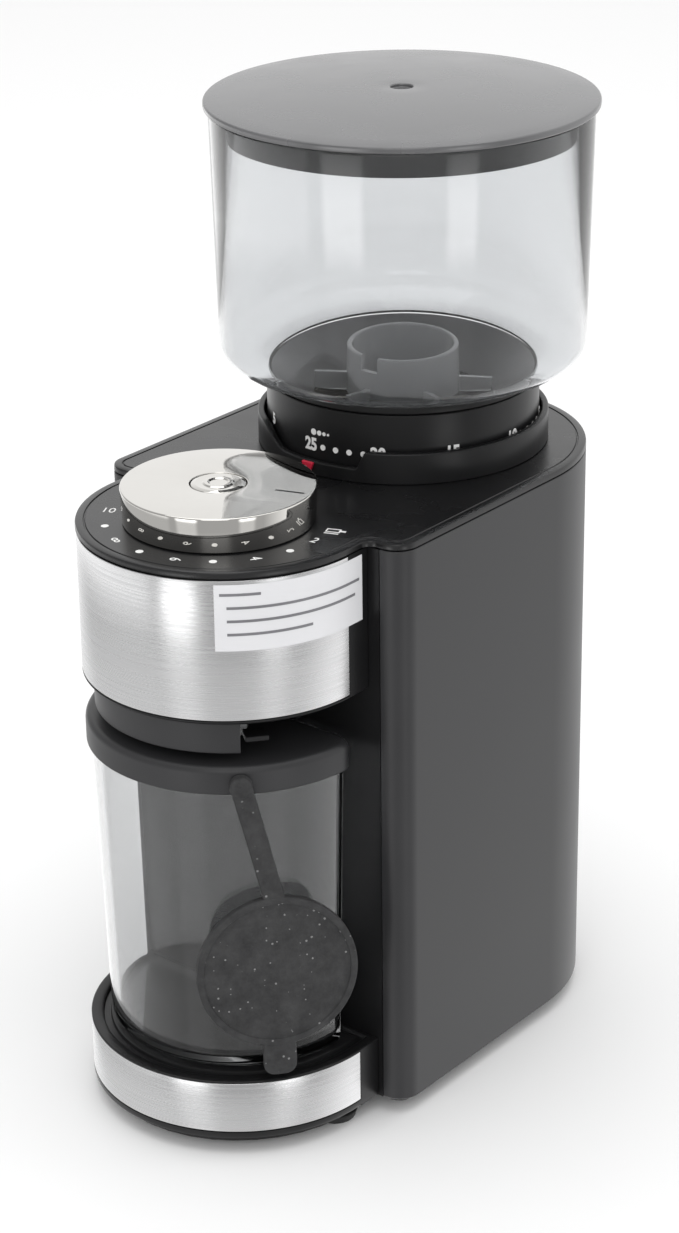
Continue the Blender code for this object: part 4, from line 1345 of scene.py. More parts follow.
@dataclass
class SettingRing(SubAssembly):
    """The ring with its figures, the fixed collar with its window, and the pointer."""

    figure_height: float = 0.0039
    figure_level: float = 0.1985
    dot_radius: float = 0.0009
    step_deg: float = 6.15
    first_deg: float = -3.7
    spare_deg: float = -31.5
    spare_rise: float = 0.0022
    settings: int = 25
    sill: float = 0.1945
    collar_round: float = 0.0006
    window_left: tuple[float, float] = (-36.0, -15.5)
    window_right: tuple[float, float] = (18.5, 23.0)
    window_deg: tuple[float, float] = (-36.0, 24.0)
    ring_bore: float = 0.0397
    ring_lip: float = 0.0331
    lip_height: float = 0.0030
    collar_bore: float = 0.0430
    pointer_deg: float = -1.7

    def build(self) -> None:
        """Build every piece."""
        self.build_ring()
        self.build_figures()
        self.build_collar()
        self.build_pointer()

    def build_ring(self) -> None:
        """The black ring that carries the figures."""
        ring = Envelope.of("adjusting_ring")
        inner, lip, ledge = self.ring_bore, self.ring_lip, ring.bottom + self.lip_height
        corners = [(ring.radius - 0.0002, ring.top, 0.0005), (ring.radius, ring.bottom, 0.0004),
                   (lip, ring.bottom, 0.0003), (lip, ledge, 0.0003), (inner, ledge, 0.0),
                   (inner, ring.top, 0.0004)]
        self.dress_turned("adjusting_ring", corners, "satin_black", Body.RING, Slot.BLACK)

    def build_figures(self) -> None:
        """The printed figures at every fifth setting, the dots between and a grain-size sign."""
        radius, level = Envelope.of("adjusting_ring").radius, self.figure_level
        marks = []
        for setting in range(self.settings, 0, -5):
            degrees = self.first_deg + self.step_deg * (self.settings - setting)
            flat = figure_mesh(str(setting), self.figure_height, 0.86, 0.00022)
            marks.append(wrap_round(flat, BURR_AXIS, radius, degrees, level))
            marks.append(self.dots(BURR_AXIS, level - 0.0002, radius, degrees + self.step_deg,
                                   self.dot_radius, 2 * PRINT_DEPTH, 90.0, 4, self.step_deg))
        spare = figure_mesh("5", 0.0034, 0.9, 0.0002)
        marks.append(wrap_round(spare, BURR_AXIS, radius, self.spare_deg,
                                level + self.spare_rise))
        for offset, size in ((-2.2, 0.0010), (0.7, 0.0008), (3.1, 0.0006), (5.1, 0.0004)):
            marks.append(self.dots(BURR_AXIS, level + 0.0042, radius, offset, size,
                                   2 * PRINT_DEPTH, 90.0))
        self.add("setting_figures", merged("setting_figures", marks), "white_print", Body.RING,
                 Slot.BLACK)

    def collar_height(self, degrees: float) -> float:
        """How high the collar stands at an angle from straight ahead.

        Args:
            degrees: the angle, towards +X.

        Returns:
            The height of its top.
        """
        top = Envelope.of("collar").top
        left = (degrees - self.window_left[0]) / (self.window_left[1] - self.window_left[0])
        right = (self.window_right[1] - degrees) / (self.window_right[1] - self.window_right[0])
        open_share = min(max(min(left, right), 0.0), 1.0)
        eased = open_share * open_share * (3.0 - 2.0 * open_share)
        return top + (self.sill - top) * eased

    def build_collar(self) -> None:
        """The collar, whose rim dips in front so that the figures show."""
        collar = Envelope.of("collar")
        bore, rounding = self.collar_bore, self.collar_round
        first, last = self.window_deg
        angles = [float(a) for a in range(int(last), int(first) + 360, 3)]
        angles += [first + 0.5 * i for i in range(int(2 * (last - first)))]
        solid = Solid()
        sections = []
        for degrees in sorted(a if a < 180 else a - 360 for a in angles):
            top = self.collar_height(degrees)
            section = soften([(collar.radius, collar.bottom, 0.0), (collar.radius, top, rounding),
                              (bore, top, rounding), (bore, collar.bottom, 0.0)], 4)
            sections.append(solid.path(beside(collar.axis, radius, math.radians(degrees), height)
                                       for radius, height in section))
        solid.stack(sections + sections[:1])
        self.dress("collar", solid.mesh("collar"), "satin_black", Body.ROOT, Slot.BLACK)

    def build_pointer(self) -> None:
        """The red wedge that the figures are read against."""
        low, top = Envelope.of("setting_pointer").bottom, Envelope.of("setting_pointer").top
        collar = Envelope.of("collar").radius
        middle = math.radians(self.pointer_deg)
        rows = []
        for width, height, inset in ((0.0020, low, 0.0003), (0.0024, low + 0.0003, 0.0),
                                     (0.0042, top - 0.0003, 0.0), (0.0038, top, 0.0003)):
            near, far = collar + 0.0002, collar + 0.0010 - inset
            rows.append([beside(BURR_AXIS, reach, middle + side * width / 2 / collar, height)
                         for side, reach in ((-1, near), (1, near), (1, far), (-1, far))])
        self.dress("setting_pointer", lofted("setting_pointer", rows), "pointer_red", Body.ROOT,
                   Slot.RED)


@dataclass
class TopCover(SubAssembly):
    """The one-piece cover over the column and the head, with the dial's printed marks."""

    front_corner: float = 0.0072
    back_corner: float = 0.0506
    front_y: float = -0.0397
    fillet: float = 0.0034
    edge_round: float = 0.0006
    bead_inset: float = 0.0024
    bead_width: float = 0.0007
    bead_depth: float = 0.00035
    burr_hole: float = 0.0430
    dial_hole: float = 0.0070
    mark_radius: float = 0.0335
    figure_height: float = 0.0036
    dot_radius: float = 0.00115

    def plan(self, inset: float) -> Outline:
        """The keyhole outline drawn in by an inset.

        Args:
            inset: how far in.

        Returns:
            A closed outline, with the same number of points for every inset.
        """
        cover = Envelope.of("top_cover")
        half, back = cover.radius, cover.high.y
        head = HEAD_AXIS[1] - cover.low.y
        small, large, bend = self.front_corner, self.back_corner, self.fillet
        outline = arc(HEAD_AXIS, head - inset, 180, 360, ARC_STEPS)
        outline += arc((head + bend, self.front_y - bend), bend + inset, 180, 90, 8)
        outline += arc((half - small, self.front_y + small), small - inset, -90, 0, 10)
        outline += arc((half - large, back - large), large - inset, 0, 90, 30)
        outline += arc((large - half, back - large), large - inset, 90, 180, 30)
        outline += arc((small - half, self.front_y + small), small - inset, 180, 270, 10)
        outline += arc((-head - bend, self.front_y - bend), bend + inset, 90, 0, 8)
        return outline

    def build(self) -> None:
        """Build the cover and its marks."""
        self.build_cover()
        self.build_marks()

    def build_cover(self) -> None:
        """The cover, with a fine bead just inside its edge."""
        cover = Envelope.of("top_cover")
        low, top = cover.bottom, cover.top
        solid = Solid()
        inner = self.bead_inset + self.bead_width
        steps = [(0.0003, low), (0.0, low + 0.0003), (0.0, top - self.edge_round),
                 (self.edge_round * 0.3, top - self.edge_round * 0.3), (self.edge_round, top),
                 (self.bead_inset, top), (self.bead_inset + 0.0002, top - self.bead_depth),
                 (inner - 0.0002, top - self.bead_depth), (inner, top)]
        rings = [solid.ring(self.plan(inset), height) for inset, height in steps]
        solid.stack(rings)
        holes = (circle(BURR_AXIS, self.burr_hole), circle(DIAL_AXIS, self.dial_hole, 40))
        upper = [solid.ring(hole, top) for hole in holes]
        lower = [solid.ring(hole, low) for hole in holes]
        for above, below in zip(upper, lower):
            solid.strip(above, below)
        solid.cap(rings[-1], *upper)
        solid.cap(rings[0], *lower)
        self.dress("top_cover", solid.mesh("top_cover"), "cover_black", Body.ROOT, Slot.BLACK)

    def build_marks(self) -> None:
        """The dial's figures, the dots between them and the sign of a filter holder."""
        top = Envelope.of("top_cover").top
        marks = []
        for text, degrees in (("10", -63.3), ("8", -22.5), ("6", 18.3), ("4", 57.8), ("2", 94.7)):
            reading = degrees - 90.0 if degrees > -40.0 else degrees + 90.0
            figure = figure_mesh(text, self.figure_height, 0.9)
            marks.append(self.laid(figure, degrees, reading, self.mark_radius, top))
        marks.append(self.laid(self.holder_sign(), 109.7, 19.7, self.mark_radius + 0.0016, top))
        for degrees in (-42.2, -2.4, 37.2, 77.1):
            marks.append(self.dots(DIAL_AXIS, top + PRINT_DEPTH / 2, self.mark_radius, degrees,
                                   self.dot_radius, PRINT_DEPTH))
        self.add("dial_marks", merged("dial_marks", marks), "white_print", Body.ROOT, Slot.BLACK)

    def laid(self, mesh: bpy.types.Mesh, degrees: float, reading_deg: float, radius: float,
             height: float) -> bpy.types.Mesh:
        """Lay a flat mesh on the cover round the dial.

        Args:
            mesh: a mesh in the XY plane.
            degrees: where, from straight ahead towards +X.
            reading_deg: which way its x axis points, from +X.
            radius: how far from the dial's axis.
            height: the height of its underside.

        Returns:
            The same mesh.
        """
        spot = beside(DIAL_AXIS, radius, math.radians(degrees), height)
        mesh.transform(Matrix.Translation(spot)
                       @ Matrix.Rotation(math.radians(reading_deg), 4, "Z"))
        return mesh

    def holder_sign(self) -> bpy.types.Mesh:
        """A plain sign: a cup outline with a handle and a line under it."""
        line, across, up = 0.00045, 0.0022, 0.0013
        bars = [((-across, up - line), (across, up)),
                ((-across, -up), (across, line - up)),
                ((-across, line - up), (line - across, up - line)),
                ((across - line, line - up), (across, up - line)),
                ((across, -line), (across + 0.0016, line)),
                ((-across, -up - 0.0012), (across, -up - 0.0007))]
        meshes = [block((*low, 0.0), (*high, PRINT_DEPTH)) for low, high in bars]
        return merged("holder_sign", meshes)


@dataclass
class Dial(SubAssembly):
    """The chrome timer knob with its inlaid line, and the start button in the middle."""

    line_length: float = 0.0090
    line_width: float = 0.0010
    line_middle: float = 0.0222
    line_deg: float = 108.0
    rim_round: float = 0.0005
    well: float = 0.1965
    skirt_foot: float = 0.1984

    def build(self) -> None:
        """Build the knob, its inlay and the button."""
        knob = Envelope.of("dial_knob")
        button = Envelope.of("start_button")
        top, edge, hole = knob.top, knob.radius, button.radius + CLEARANCE
        low = Envelope.of("top_cover").top + CLEARANCE
        hub, stem, bore = 0.0105, 0.0055, 0.0035
        under, web = top - 0.0025, low + 0.0003
        corners = [(hole, top, 0.0002), (edge, top, self.rim_round), (edge - 0.0004, low, 0.0003),
                   (edge - 0.0024, low, 0.0), (edge - 0.0022, under, 0.0), (hub, under, 0.0),
                   (hub, web, 0.0), (stem, web, 0.0), (stem, knob.bottom, 0.0),
                   (bore, knob.bottom, 0.0), (bore, self.well, 0.0), (hole, self.well, 0.0)]
        body = self.turned(corners, knob.axis, "polished_chrome")
        angle = math.radians(self.line_deg - 90.0)
        slot_mesh = self.line(0.0, top - 0.0004, top + 0.001, angle)
        body = combined(body, [slot_mesh], "DIFFERENCE")
        self.dress("dial_knob", body, "polished_chrome", Body.DIAL, Slot.CHROME)
        inlay = self.line(0.00005, top - 0.00035, top - 0.00005, angle)
        self.add("dial_line", inlay, "satin_black", Body.DIAL, Slot.BLACK)
        self.build_button(button)

    def line(self, inset: float, low: float, high: float, angle: float) -> bpy.types.Mesh:
        """A narrow bar that points outwards on the knob.

        Args:
            inset: how much smaller all round.
            low: its underside.
            high: its top.
            angle: which way it points, from +X.

        Returns:
            The mesh.
        """
        near = self.line_middle - self.line_length / 2 + inset
        far = self.line_middle + self.line_length / 2 - inset
        half = self.line_width / 2 - inset
        bar = block((near, -half, low), (far, half, high))
        bar.transform(Matrix.Translation((*DIAL_AXIS, 0.0)) @ Matrix.Rotation(angle, 4, "Z"))
        return bar

    def build_button(self, button: Envelope) -> None:
        """The button, with a dished top and a plain raised ring."""
        top, edge, stem, foot = button.top, button.radius, 0.0031, self.skirt_foot
        dish = top - 0.0004
        corners = [(0.0, dish, 0.0), (0.0026, dish, 0.0004), (0.0032, top, 0.0003),
                   (0.0042, top, 0.0003), (0.0048, dish, 0.0004), (0.0068, top - 0.0002, 0.0004),
                   (edge, top - 0.0006, 0.0004), (edge, foot, 0.0), (stem, foot, 0.0),
                   (stem, button.bottom, 0.0), (0.0, button.bottom, 0.0)]
        self.dress_turned("start_button", corners, "polished_chrome", Body.BUTTON, Slot.CHROME)


@dataclass
class Cupped:
    """A round-fronted cup: a plate on one side with walls that stand off it.

    levels are (height, arc radius) from the plate's edge to the rim, faces are (radius, back,
    height) loops drawn in over the plate, and floor is the height of the plate's inner side.
    """

    width: float
    back: float
    wall: float
    levels: Sequence[tuple[float, float]]
    faces: Sequence[tuple[float, float, float]]
    floor: float
    opening: Optional[Outline] = None

    def mesh(self, name: str) -> bpy.types.Mesh:
        """Build the cup.

        Args:
            name: the mesh's name.

        Returns:
            A closed mesh.
        """
        solid = Solid()
        outer = [solid.ring(front_plan(self.width, self.back, radius), height)
                 for height, radius in self.levels]
        solid.stack(outer, closed=False)
        rim = self.levels[-1][0]
        inner_plan = front_plan(self.width - self.wall, self.back)
        inner = [solid.ring(inner_plan, self.floor), solid.ring(inner_plan, rim)]
        solid.stack(inner, closed=False)
        rings = [outer[0]] + [solid.ring(front_plan(radius, back), height)
                              for radius, back, height in self.faces]
        solid.stack(rings)
        if self.opening is None:
            solid.cap(rings[-1])
            solid.cap(inner[0])
        else:
            near = solid.ring(self.opening, rings[-1][0].co.z)
            far = solid.ring(self.opening, self.floor)
            solid.strip(near, far)
            solid.cap(rings[-1], near)
            solid.cap(inner[0], far)
        solid.cap(outer[-1] + inner[1][::-1])
        left = [row[0] for row in outer]
        right = [row[-1] for row in outer]
        solid.cap(left + [inner[1][0], inner[0][0], inner[0][-1], inner[1][-1]] + right[::-1])
        return solid.mesh(name)


def trim_band(band: Envelope) -> bpy.types.Mesh:
    """A thin half-round steel band with softened edges, round the head's axis.

    Args:
        band: the band's box.

    Returns:
        The mesh.
    """
    outer, inner = band.radius, band.radius - 0.0005
    section = soften([(outer, band.bottom, 0.00018), (outer, band.top, 0.00018),
                      (inner, band.top, 0.0), (inner, band.bottom, 0.0)], 3)
    return swept("trim_band", section, -BAND_END_DEG, BAND_END_DEG)


@dataclass
class Head(SubAssembly):
    """The round head with its steel band, blank label and outlet skirt."""

    groove_depth: float = 0.0008
    wall: float = 0.0030
    skirt_wall: float = 0.0022
    skirt_end_deg: float = 43.0
    label_start_deg: float = 34.6
    label_end_y: float = -0.0425
    label_share: tuple[float, float] = (0.505, 0.974)
    label_bar: float = 0.0008
    outlet_half: float = 0.0110
    outlet_y: tuple[float, float] = (-0.0775, -0.0585)

    def build(self) -> None:
        """Build every piece."""
        self.build_shell()
        band = Envelope.of("head_trim_band")
        self.dress("head_trim_band", trim_band(band), "brushed_band", Body.ROOT, Slot.STEEL)
        self.build_label(band)
        self.build_skirt()

    def build_shell(self) -> None:
        """The shell, grooved for the band, with the outlet through its underside."""
        shell = Envelope.of("head_shell")
        band = Envelope.of("head_trim_band")
        width = shell.radius
        groove = width - self.groove_depth
        low, top = shell.bottom, shell.top
        ledge = band.bottom - CLEARANCE
        levels = [(low + 0.0006, width), (ledge - 0.0001, width), (ledge, width - 0.0001),
                  (ledge, groove), (top, groove)]
        faces = [(width - 0.0006, shell.high.y - 0.0006, low)]
        half, (near, far) = self.outlet_half, self.outlet_y
        outlet = [(-half, near), (half, near), (half, far), (-half, far)]
        cup = Cupped(width, shell.high.y, self.wall, levels, faces, low + 0.0024, outlet)
        self.dress("head_shell", cup.mesh("head_shell"), "satin_black", Body.ROOT, Slot.BLACK)

    def build_label(self, band: Envelope) -> None:
        """A blank paper label across the band's end, with plain grey bars in place of words."""
        low, high = (band.bottom + (band.top - band.bottom) * share for share in self.label_share)
        start = band.radius * math.radians(self.label_start_deg - 90.0)
        width = self.label_end_y - HEAD_AXIS[1] - start
        paper = self.sheet(width, high - low, 60)
        self.wrap_side(paper, band.radius + 0.00004, start + width / 2, (low + high) / 2)
        self.add("blank_label", paper, "label_paper", Body.ROOT, Slot.STEEL)
        bars = []
        ends = ((0.03, 0.24), (0.07, 0.90), (0.07, 0.86), (0.07, 0.52))
        for row, (left, share) in enumerate(ends):
            bar = self.sheet(width * share, self.label_bar, 40)
            along = start + width * left + width * share / 2
            up = (low + high) / 2 + (high - low) * (0.5 - 0.20 * (row + 0.75))
            bars.append(self.wrap_side(bar, band.radius + 0.00013, along, up))
        self.add("label_bars", merged("label_bars", bars), "label_ink", Body.ROOT, Slot.STEEL)

    @staticmethod
    def wrap_side(mesh: bpy.types.Mesh, radius: float, along: float,
                  height: float) -> bpy.types.Mesh:
        """Lay a flat mesh round the front curve and on along the straight right-hand side.

        Args:
            mesh: a mesh in the XY plane, with x towards the back.
            radius: how far from the head's middle it lies.
            along: where its middle goes, from the end of the curve.
            height: the height of its middle.

        Returns:
            The same mesh.
        """
        for vert in mesh.vertices:
            beyond, reach = along + vert.co.x, radius + vert.co.z
            angle = math.pi / 2 + min(beyond, 0.0) / radius
            vert.co = beside(HEAD_AXIS, reach, angle, height + vert.co.y)
            vert.co.y += max(beyond, 0.0)
        return tidy(mesh)

    @staticmethod
    def sheet(width: float, height: float, steps: int) -> bpy.types.Mesh:
        """A thin flat sheet that is ready to be bent.

        Args:
            width: its size along x.
            height: its size along y.
            steps: how many parts it bends in.

        Returns:
            The mesh.
        """
        places = [width * (step / steps - 0.5) for step in range(steps + 1)]
        return lofted("sheet", ([(x, -height / 2, 0.0), (x, height / 2, 0.0),
                                 (x, height / 2, PRINT_DEPTH), (x, -height / 2, PRINT_DEPTH)]
                                for x in places))

    def build_skirt(self) -> None:
        """The skirt that guides the grounds into the jar."""
        skirt = Envelope.of("head_skirt")
        outer = HEAD_AXIS[1] - skirt.low.y
        inner = outer - self.skirt_wall
        section = soften([(outer, skirt.bottom, 0.0006), (outer, skirt.top, 0.0),
                          (inner, skirt.top, 0.0), (inner, skirt.bottom, 0.0006)], 4)
        self.dress("head_skirt", swept("head_skirt", section, -90.0, self.skirt_end_deg),
                   "column_black", Body.ROOT, Slot.BLACK)


@dataclass
class Column(SubAssembly):
    """The wrap-round rear housing and the cord's outlet."""

    seam_x: float = 0.0490
    front_corner: float = 0.0072
    back_corner: float = 0.0506
    wall: float = 0.0024
    edge_round: float = 0.0005
    gland_hole: float = 0.0053
    boss_x: float = 0.046
    boss_y: tuple[float, float] = (-0.022, 0.040)
    boss_height: float = 0.017

    def side(self, inset: float, housing: Envelope) -> Outline:
        """The outline from the right seam round the back to the left seam.

        Args:
            inset: how far it is drawn in.
            housing: the housing's box.

        Returns:
            An open outline.
        """
        half = housing.radius - inset
        back, front = housing.high.y - inset, housing.low.y + inset
        small, large = self.front_corner - inset, self.back_corner - inset
        outline = [(self.seam_x, front)]
        outline += arc((half - small, front + small), small, -90, 0, 10)
        outline += arc((half - large, back - large), large, 0, 90, 36)
        outline += arc((large - half, back - large), large, 90, 180, 36)
        outline += arc((small - half, front + small), small, 180, 270, 10)
        return outline + [(-self.seam_x, front)]

    def build(self) -> None:
        """Build the housing and the gland."""
        housing = Envelope.of("rear_housing")
        inner = self.side(self.wall, housing)[::-1]
        low, top, soft = housing.bottom, housing.top, self.edge_round
        solid = Solid()
        rings = []
        for inset, height in ((soft, low), (0.0, low + soft), (0.0, top - 0.0002), (0.0002, top)):
            rings.append(solid.ring(self.side(inset, housing) + inner, height))
        solid.loft(rings)
        shell = solid.mesh("rear_housing")
        gland = Envelope.of("cord_gland")
        reach = self.gland_hole
        hole = self.turned([(0.0, 0.02, 0.0), (0.0, -0.02, 0.0), (reach, -0.02, 0.0),
                            (reach, 0.02, 0.0)], (0.0, 0.0), "column_black")
        hole.transform(Matrix.Translation((0.0, housing.high.y, (gland.bottom + gland.top) / 2))
                       @ Matrix.Rotation(math.radians(90.0), 4, "X"))
        shell = combined(shell, [hole], "DIFFERENCE")
        bosses = [self.boss(x, y, low) for x in (-self.boss_x, self.boss_x) for y in self.boss_y]
        self.dress("rear_housing", merged("rear_housing", [shell, *bosses]), "column_black",
                   Body.ROOT, Slot.GREY)
        self.build_gland(gland)

    def boss(self, x: float, y: float, bottom: float) -> bpy.types.Mesh:
        """A screw boss inside the housing."""
        low, top = bottom + 0.0002, bottom + self.boss_height
        return self.turned([(0.0042, low, 0.0), (0.0036, top, 0.0), (0.0019, top, 0.0),
                            (0.0019, low, 0.0)], (x, y), "column_black")

    def build_gland(self, gland: Envelope) -> None:
        """The rubber gland that the cord comes out of."""
        height = gland.high.y - gland.low.y
        flange, lock, body, bore = gland.radius, 0.0072, 0.0049, 0.0032
        outside, inside = 0.0053, 0.0020
        corners = [(bore, height, 0.0004), (flange, height - 0.0006, 0.0008),
                   (flange, outside, 0.0003), (body, outside, 0.0), (body, inside, 0.0),
                   (lock, inside, 0.0004), (lock, 0.0, 0.0008), (bore, 0.0, 0.0004)]
        mesh = self.turned(corners, (0.0, 0.0), "foot_rubber")
        place = Matrix.Translation((0.0, gland.low.y, (gland.bottom + gland.top) / 2))
        mesh.transform(place @ Matrix.Rotation(math.radians(-90.0), 4, "X"))
        self.dress("cord_gland", mesh, "foot_rubber", Body.ROOT, Slot.RUBBER)


@dataclass
class Base(SubAssembly):
    """The base tray with its deck and steel band, the feet and the screws underneath."""

    groove_depth: float = 0.0008
    wall: float = 0.0030
    deck: float = 0.0029
    moat_width: float = 0.0026
    moat_depth: float = 0.0012
    moat_inner: float = 0.0408
    screw_head: float = 0.0013

    def build(self) -> None:
        """Build every piece."""
        self.build_tray()
        band = Envelope.of("base_trim_band")
        self.dress("base_trim_band", trim_band(band), "brushed_band", Body.ROOT, Slot.STEEL)
        self.build_feet()
        self.build_screws()

    def build_tray(self) -> None:
        """The tray: a rim by the band, a shallow moat and the flat that the jar stands on."""
        tray = Envelope.of("base_tray")
        band = Envelope.of("base_trim_band")
        width, back, top = tray.radius, tray.high.y, tray.top
        groove = width - self.groove_depth
        above, below = band.top + CLEARANCE, band.bottom - CLEARANCE
        levels = [(top - 0.0002, width), (above, width), (above, groove), (below, groove),
                  (below, width), (tray.bottom + 0.0006, width), (tray.bottom, width - 0.0003)]
        outer_moat = self.moat_inner + self.moat_width
        low = top - self.moat_depth
        faces = [(width - 0.0003, back, top), (outer_moat + 0.0006, back - 0.0010, top),
                 (outer_moat, back - 0.0014, top - 0.0003),
                 (outer_moat - 0.0003, back - 0.0018, low),
                 (self.moat_inner + 0.0003, back - 0.0028, low),
                 (self.moat_inner, back - 0.0031, top - 0.0003),
                 (self.moat_inner - 0.0004, back - 0.0034, top - 0.0001)]
        cup = Cupped(width, back, self.wall, levels, faces, top - self.deck)
        self.dress("base_tray", cup.mesh("base_tray"), "satin_black", Body.ROOT, Slot.BLACK)

    def build_feet(self) -> None:
        """Four rubber feet with a softened edge and a shallow cup underneath."""
        for end in ("front", "rear"):
            for side in ("left", "right"):
                node = f"foot_{end}_{side}"
                foot = Envelope.of(node)
                cup = foot.bottom + 0.0006
                corners = [(0.0, foot.top, 0.0), (foot.radius, foot.top, 0.0004),
                           (foot.radius - 0.0008, foot.bottom, 0.0006),
                           (0.0040, foot.bottom, 0.0003), (0.0034, cup, 0.0003), (0.0, cup, 0.0)]
                self.dress_turned(node, corners, "foot_rubber", Body.ROOT, Slot.RUBBER)

    def build_screws(self) -> None:
        """The four screws that hold the bottom cover."""
        nodes = [f"base_screw_{end}_{side}" for end in ("front", "rear")
                 for side in ("left", "right")]
        boxes = [Envelope.of(node) for node in nodes]
        head = self.screw_head
        shank = boxes[0].top - boxes[0].bottom - head
        places = [(*box.axis, box.bottom + head / 2) for box in boxes]
        shapes = self.bench.shapes
        mesh = shapes.run(
            shapes.screws, places, Head_Radius=boxes[0].radius, Head_Height=head,
            Shank_Radius=0.0015, Shank_Length=shank, Finish=self.bench.paints["ground_steel"])
        self.add("base_screws_visual", tidy(mesh), "ground_steel", Body.ROOT, Slot.TOOL_STEEL,
                 nodes)


@dataclass
class Jar(SubAssembly):
    """The clear jar and its black lid ring."""

    wall: float = 0.0022
    corner: float = 0.0045
    foot_round: float = 0.0030
    shoulder: float = 0.0022
    opening_radius: float = 0.0160
    opening_y: float = -0.0672
    plate: float = 0.0017
    taper: float = 0.0024
    inner_round: float = 0.0022
    round_steps: int = 6

    def build(self) -> None:
        """Build the shell and the lid ring."""
        shell = Envelope.of("jar_shell")
        top_radius = HEAD_AXIS[1] - shell.low.y
        low_radius = top_radius - self.taper
        back = shell.high.y
        self.build_shell(shell, top_radius, low_radius, back)
        self.build_lid(top_radius, back)

    def build_shell(self, shell: Envelope, top_radius: float, low_radius: float,
                    back: float) -> None:
        """The clear wall and floor.

        Args:
            shell: the jar's box.
            top_radius: the front's radius at the rim.
            low_radius: the front's radius at the foot.
            back: the y of its flat back.
        """
        solid = Solid()

        def ring(radius: float, height: float, inset: float) -> list:
            plan = jar_plan(radius - inset, back - inset, max(self.corner - inset, 0.0008))
            return solid.ring(plan, height)

        rings = [ring(low_radius, shell.bottom + rise, inset)
                 for inset, rise in self.quarter(self.foot_round)]
        rings += [ring(top_radius, height, inset)
                  for height, inset in ((shell.top - 0.0004, 0.0), (shell.top, 0.0004),
                                        (shell.top, self.wall - 0.0004),
                                        (shell.top - 0.0004, self.wall))]
        floor = shell.bottom + self.foot_round
        rings += [ring(low_radius, floor + rise, self.wall + inset)
                  for inset, rise in reversed(self.quarter(self.inner_round))]
        solid.loft(rings)
        self.dress("jar_shell", solid.mesh("jar_shell"), "jar_clear", Body.JAR, Slot.CLEAR)

    def quarter(self, radius: float) -> Outline:
        """Steps round a quarter circle, as (inset, rise) from its lowest point to its highest."""
        angles = [math.radians(90.0 * step / self.round_steps)
                  for step in range(self.round_steps + 1)]
        return [(radius * (1 - math.sin(angle)), radius * (1 - math.cos(angle)))
                for angle in angles]

    def build_lid(self, jar_radius: float, jar_back: float) -> None:
        """The lid ring with its rounded shoulder and the opening for the grounds.

        Args:
            jar_radius: the jar's radius at the rim.
            jar_back: the y of the jar's flat back.
        """
        lid = Envelope.of("jar_lid")
        radius, back = HEAD_AXIS[1] - lid.low.y, lid.high.y
        corner = self.corner + 0.0010
        solid = Solid()
        rings = [solid.ring(jar_plan(radius - 0.0003, back - 0.0003, corner), lid.bottom),
                 solid.ring(jar_plan(radius, back, corner), lid.bottom + 0.0003)]
        rings += [solid.ring(jar_plan(radius - inset, back - inset, corner), lid.top - drop)
                  for drop, inset in self.quarter(self.shoulder)]
        solid.stack(rings)
        under = lid.top - self.plate
        socket = jar_plan(jar_radius + CLEARANCE, jar_back + CLEARANCE, self.corner)
        inside = [solid.ring(socket, under), solid.ring(socket, lid.bottom)]
        solid.stack(inside)
        mouth = circle((0.0, self.opening_y), self.opening_radius, 80)
        wider = circle((0.0, self.opening_y), self.opening_radius + 0.0005, 80)
        holes = [solid.ring(wider, lid.top), solid.ring(mouth, lid.top - 0.0005),
                 solid.ring(mouth, under)]
        solid.stack(holes)
        solid.cap(rings[-1], holes[0])
        solid.cap(inside[0], holes[-1])
        solid.cap(rings[0], inside[-1])
        self.dress("jar_lid", solid.mesh("jar_lid"), "column_black", Body.JAR, Slot.BLACK)


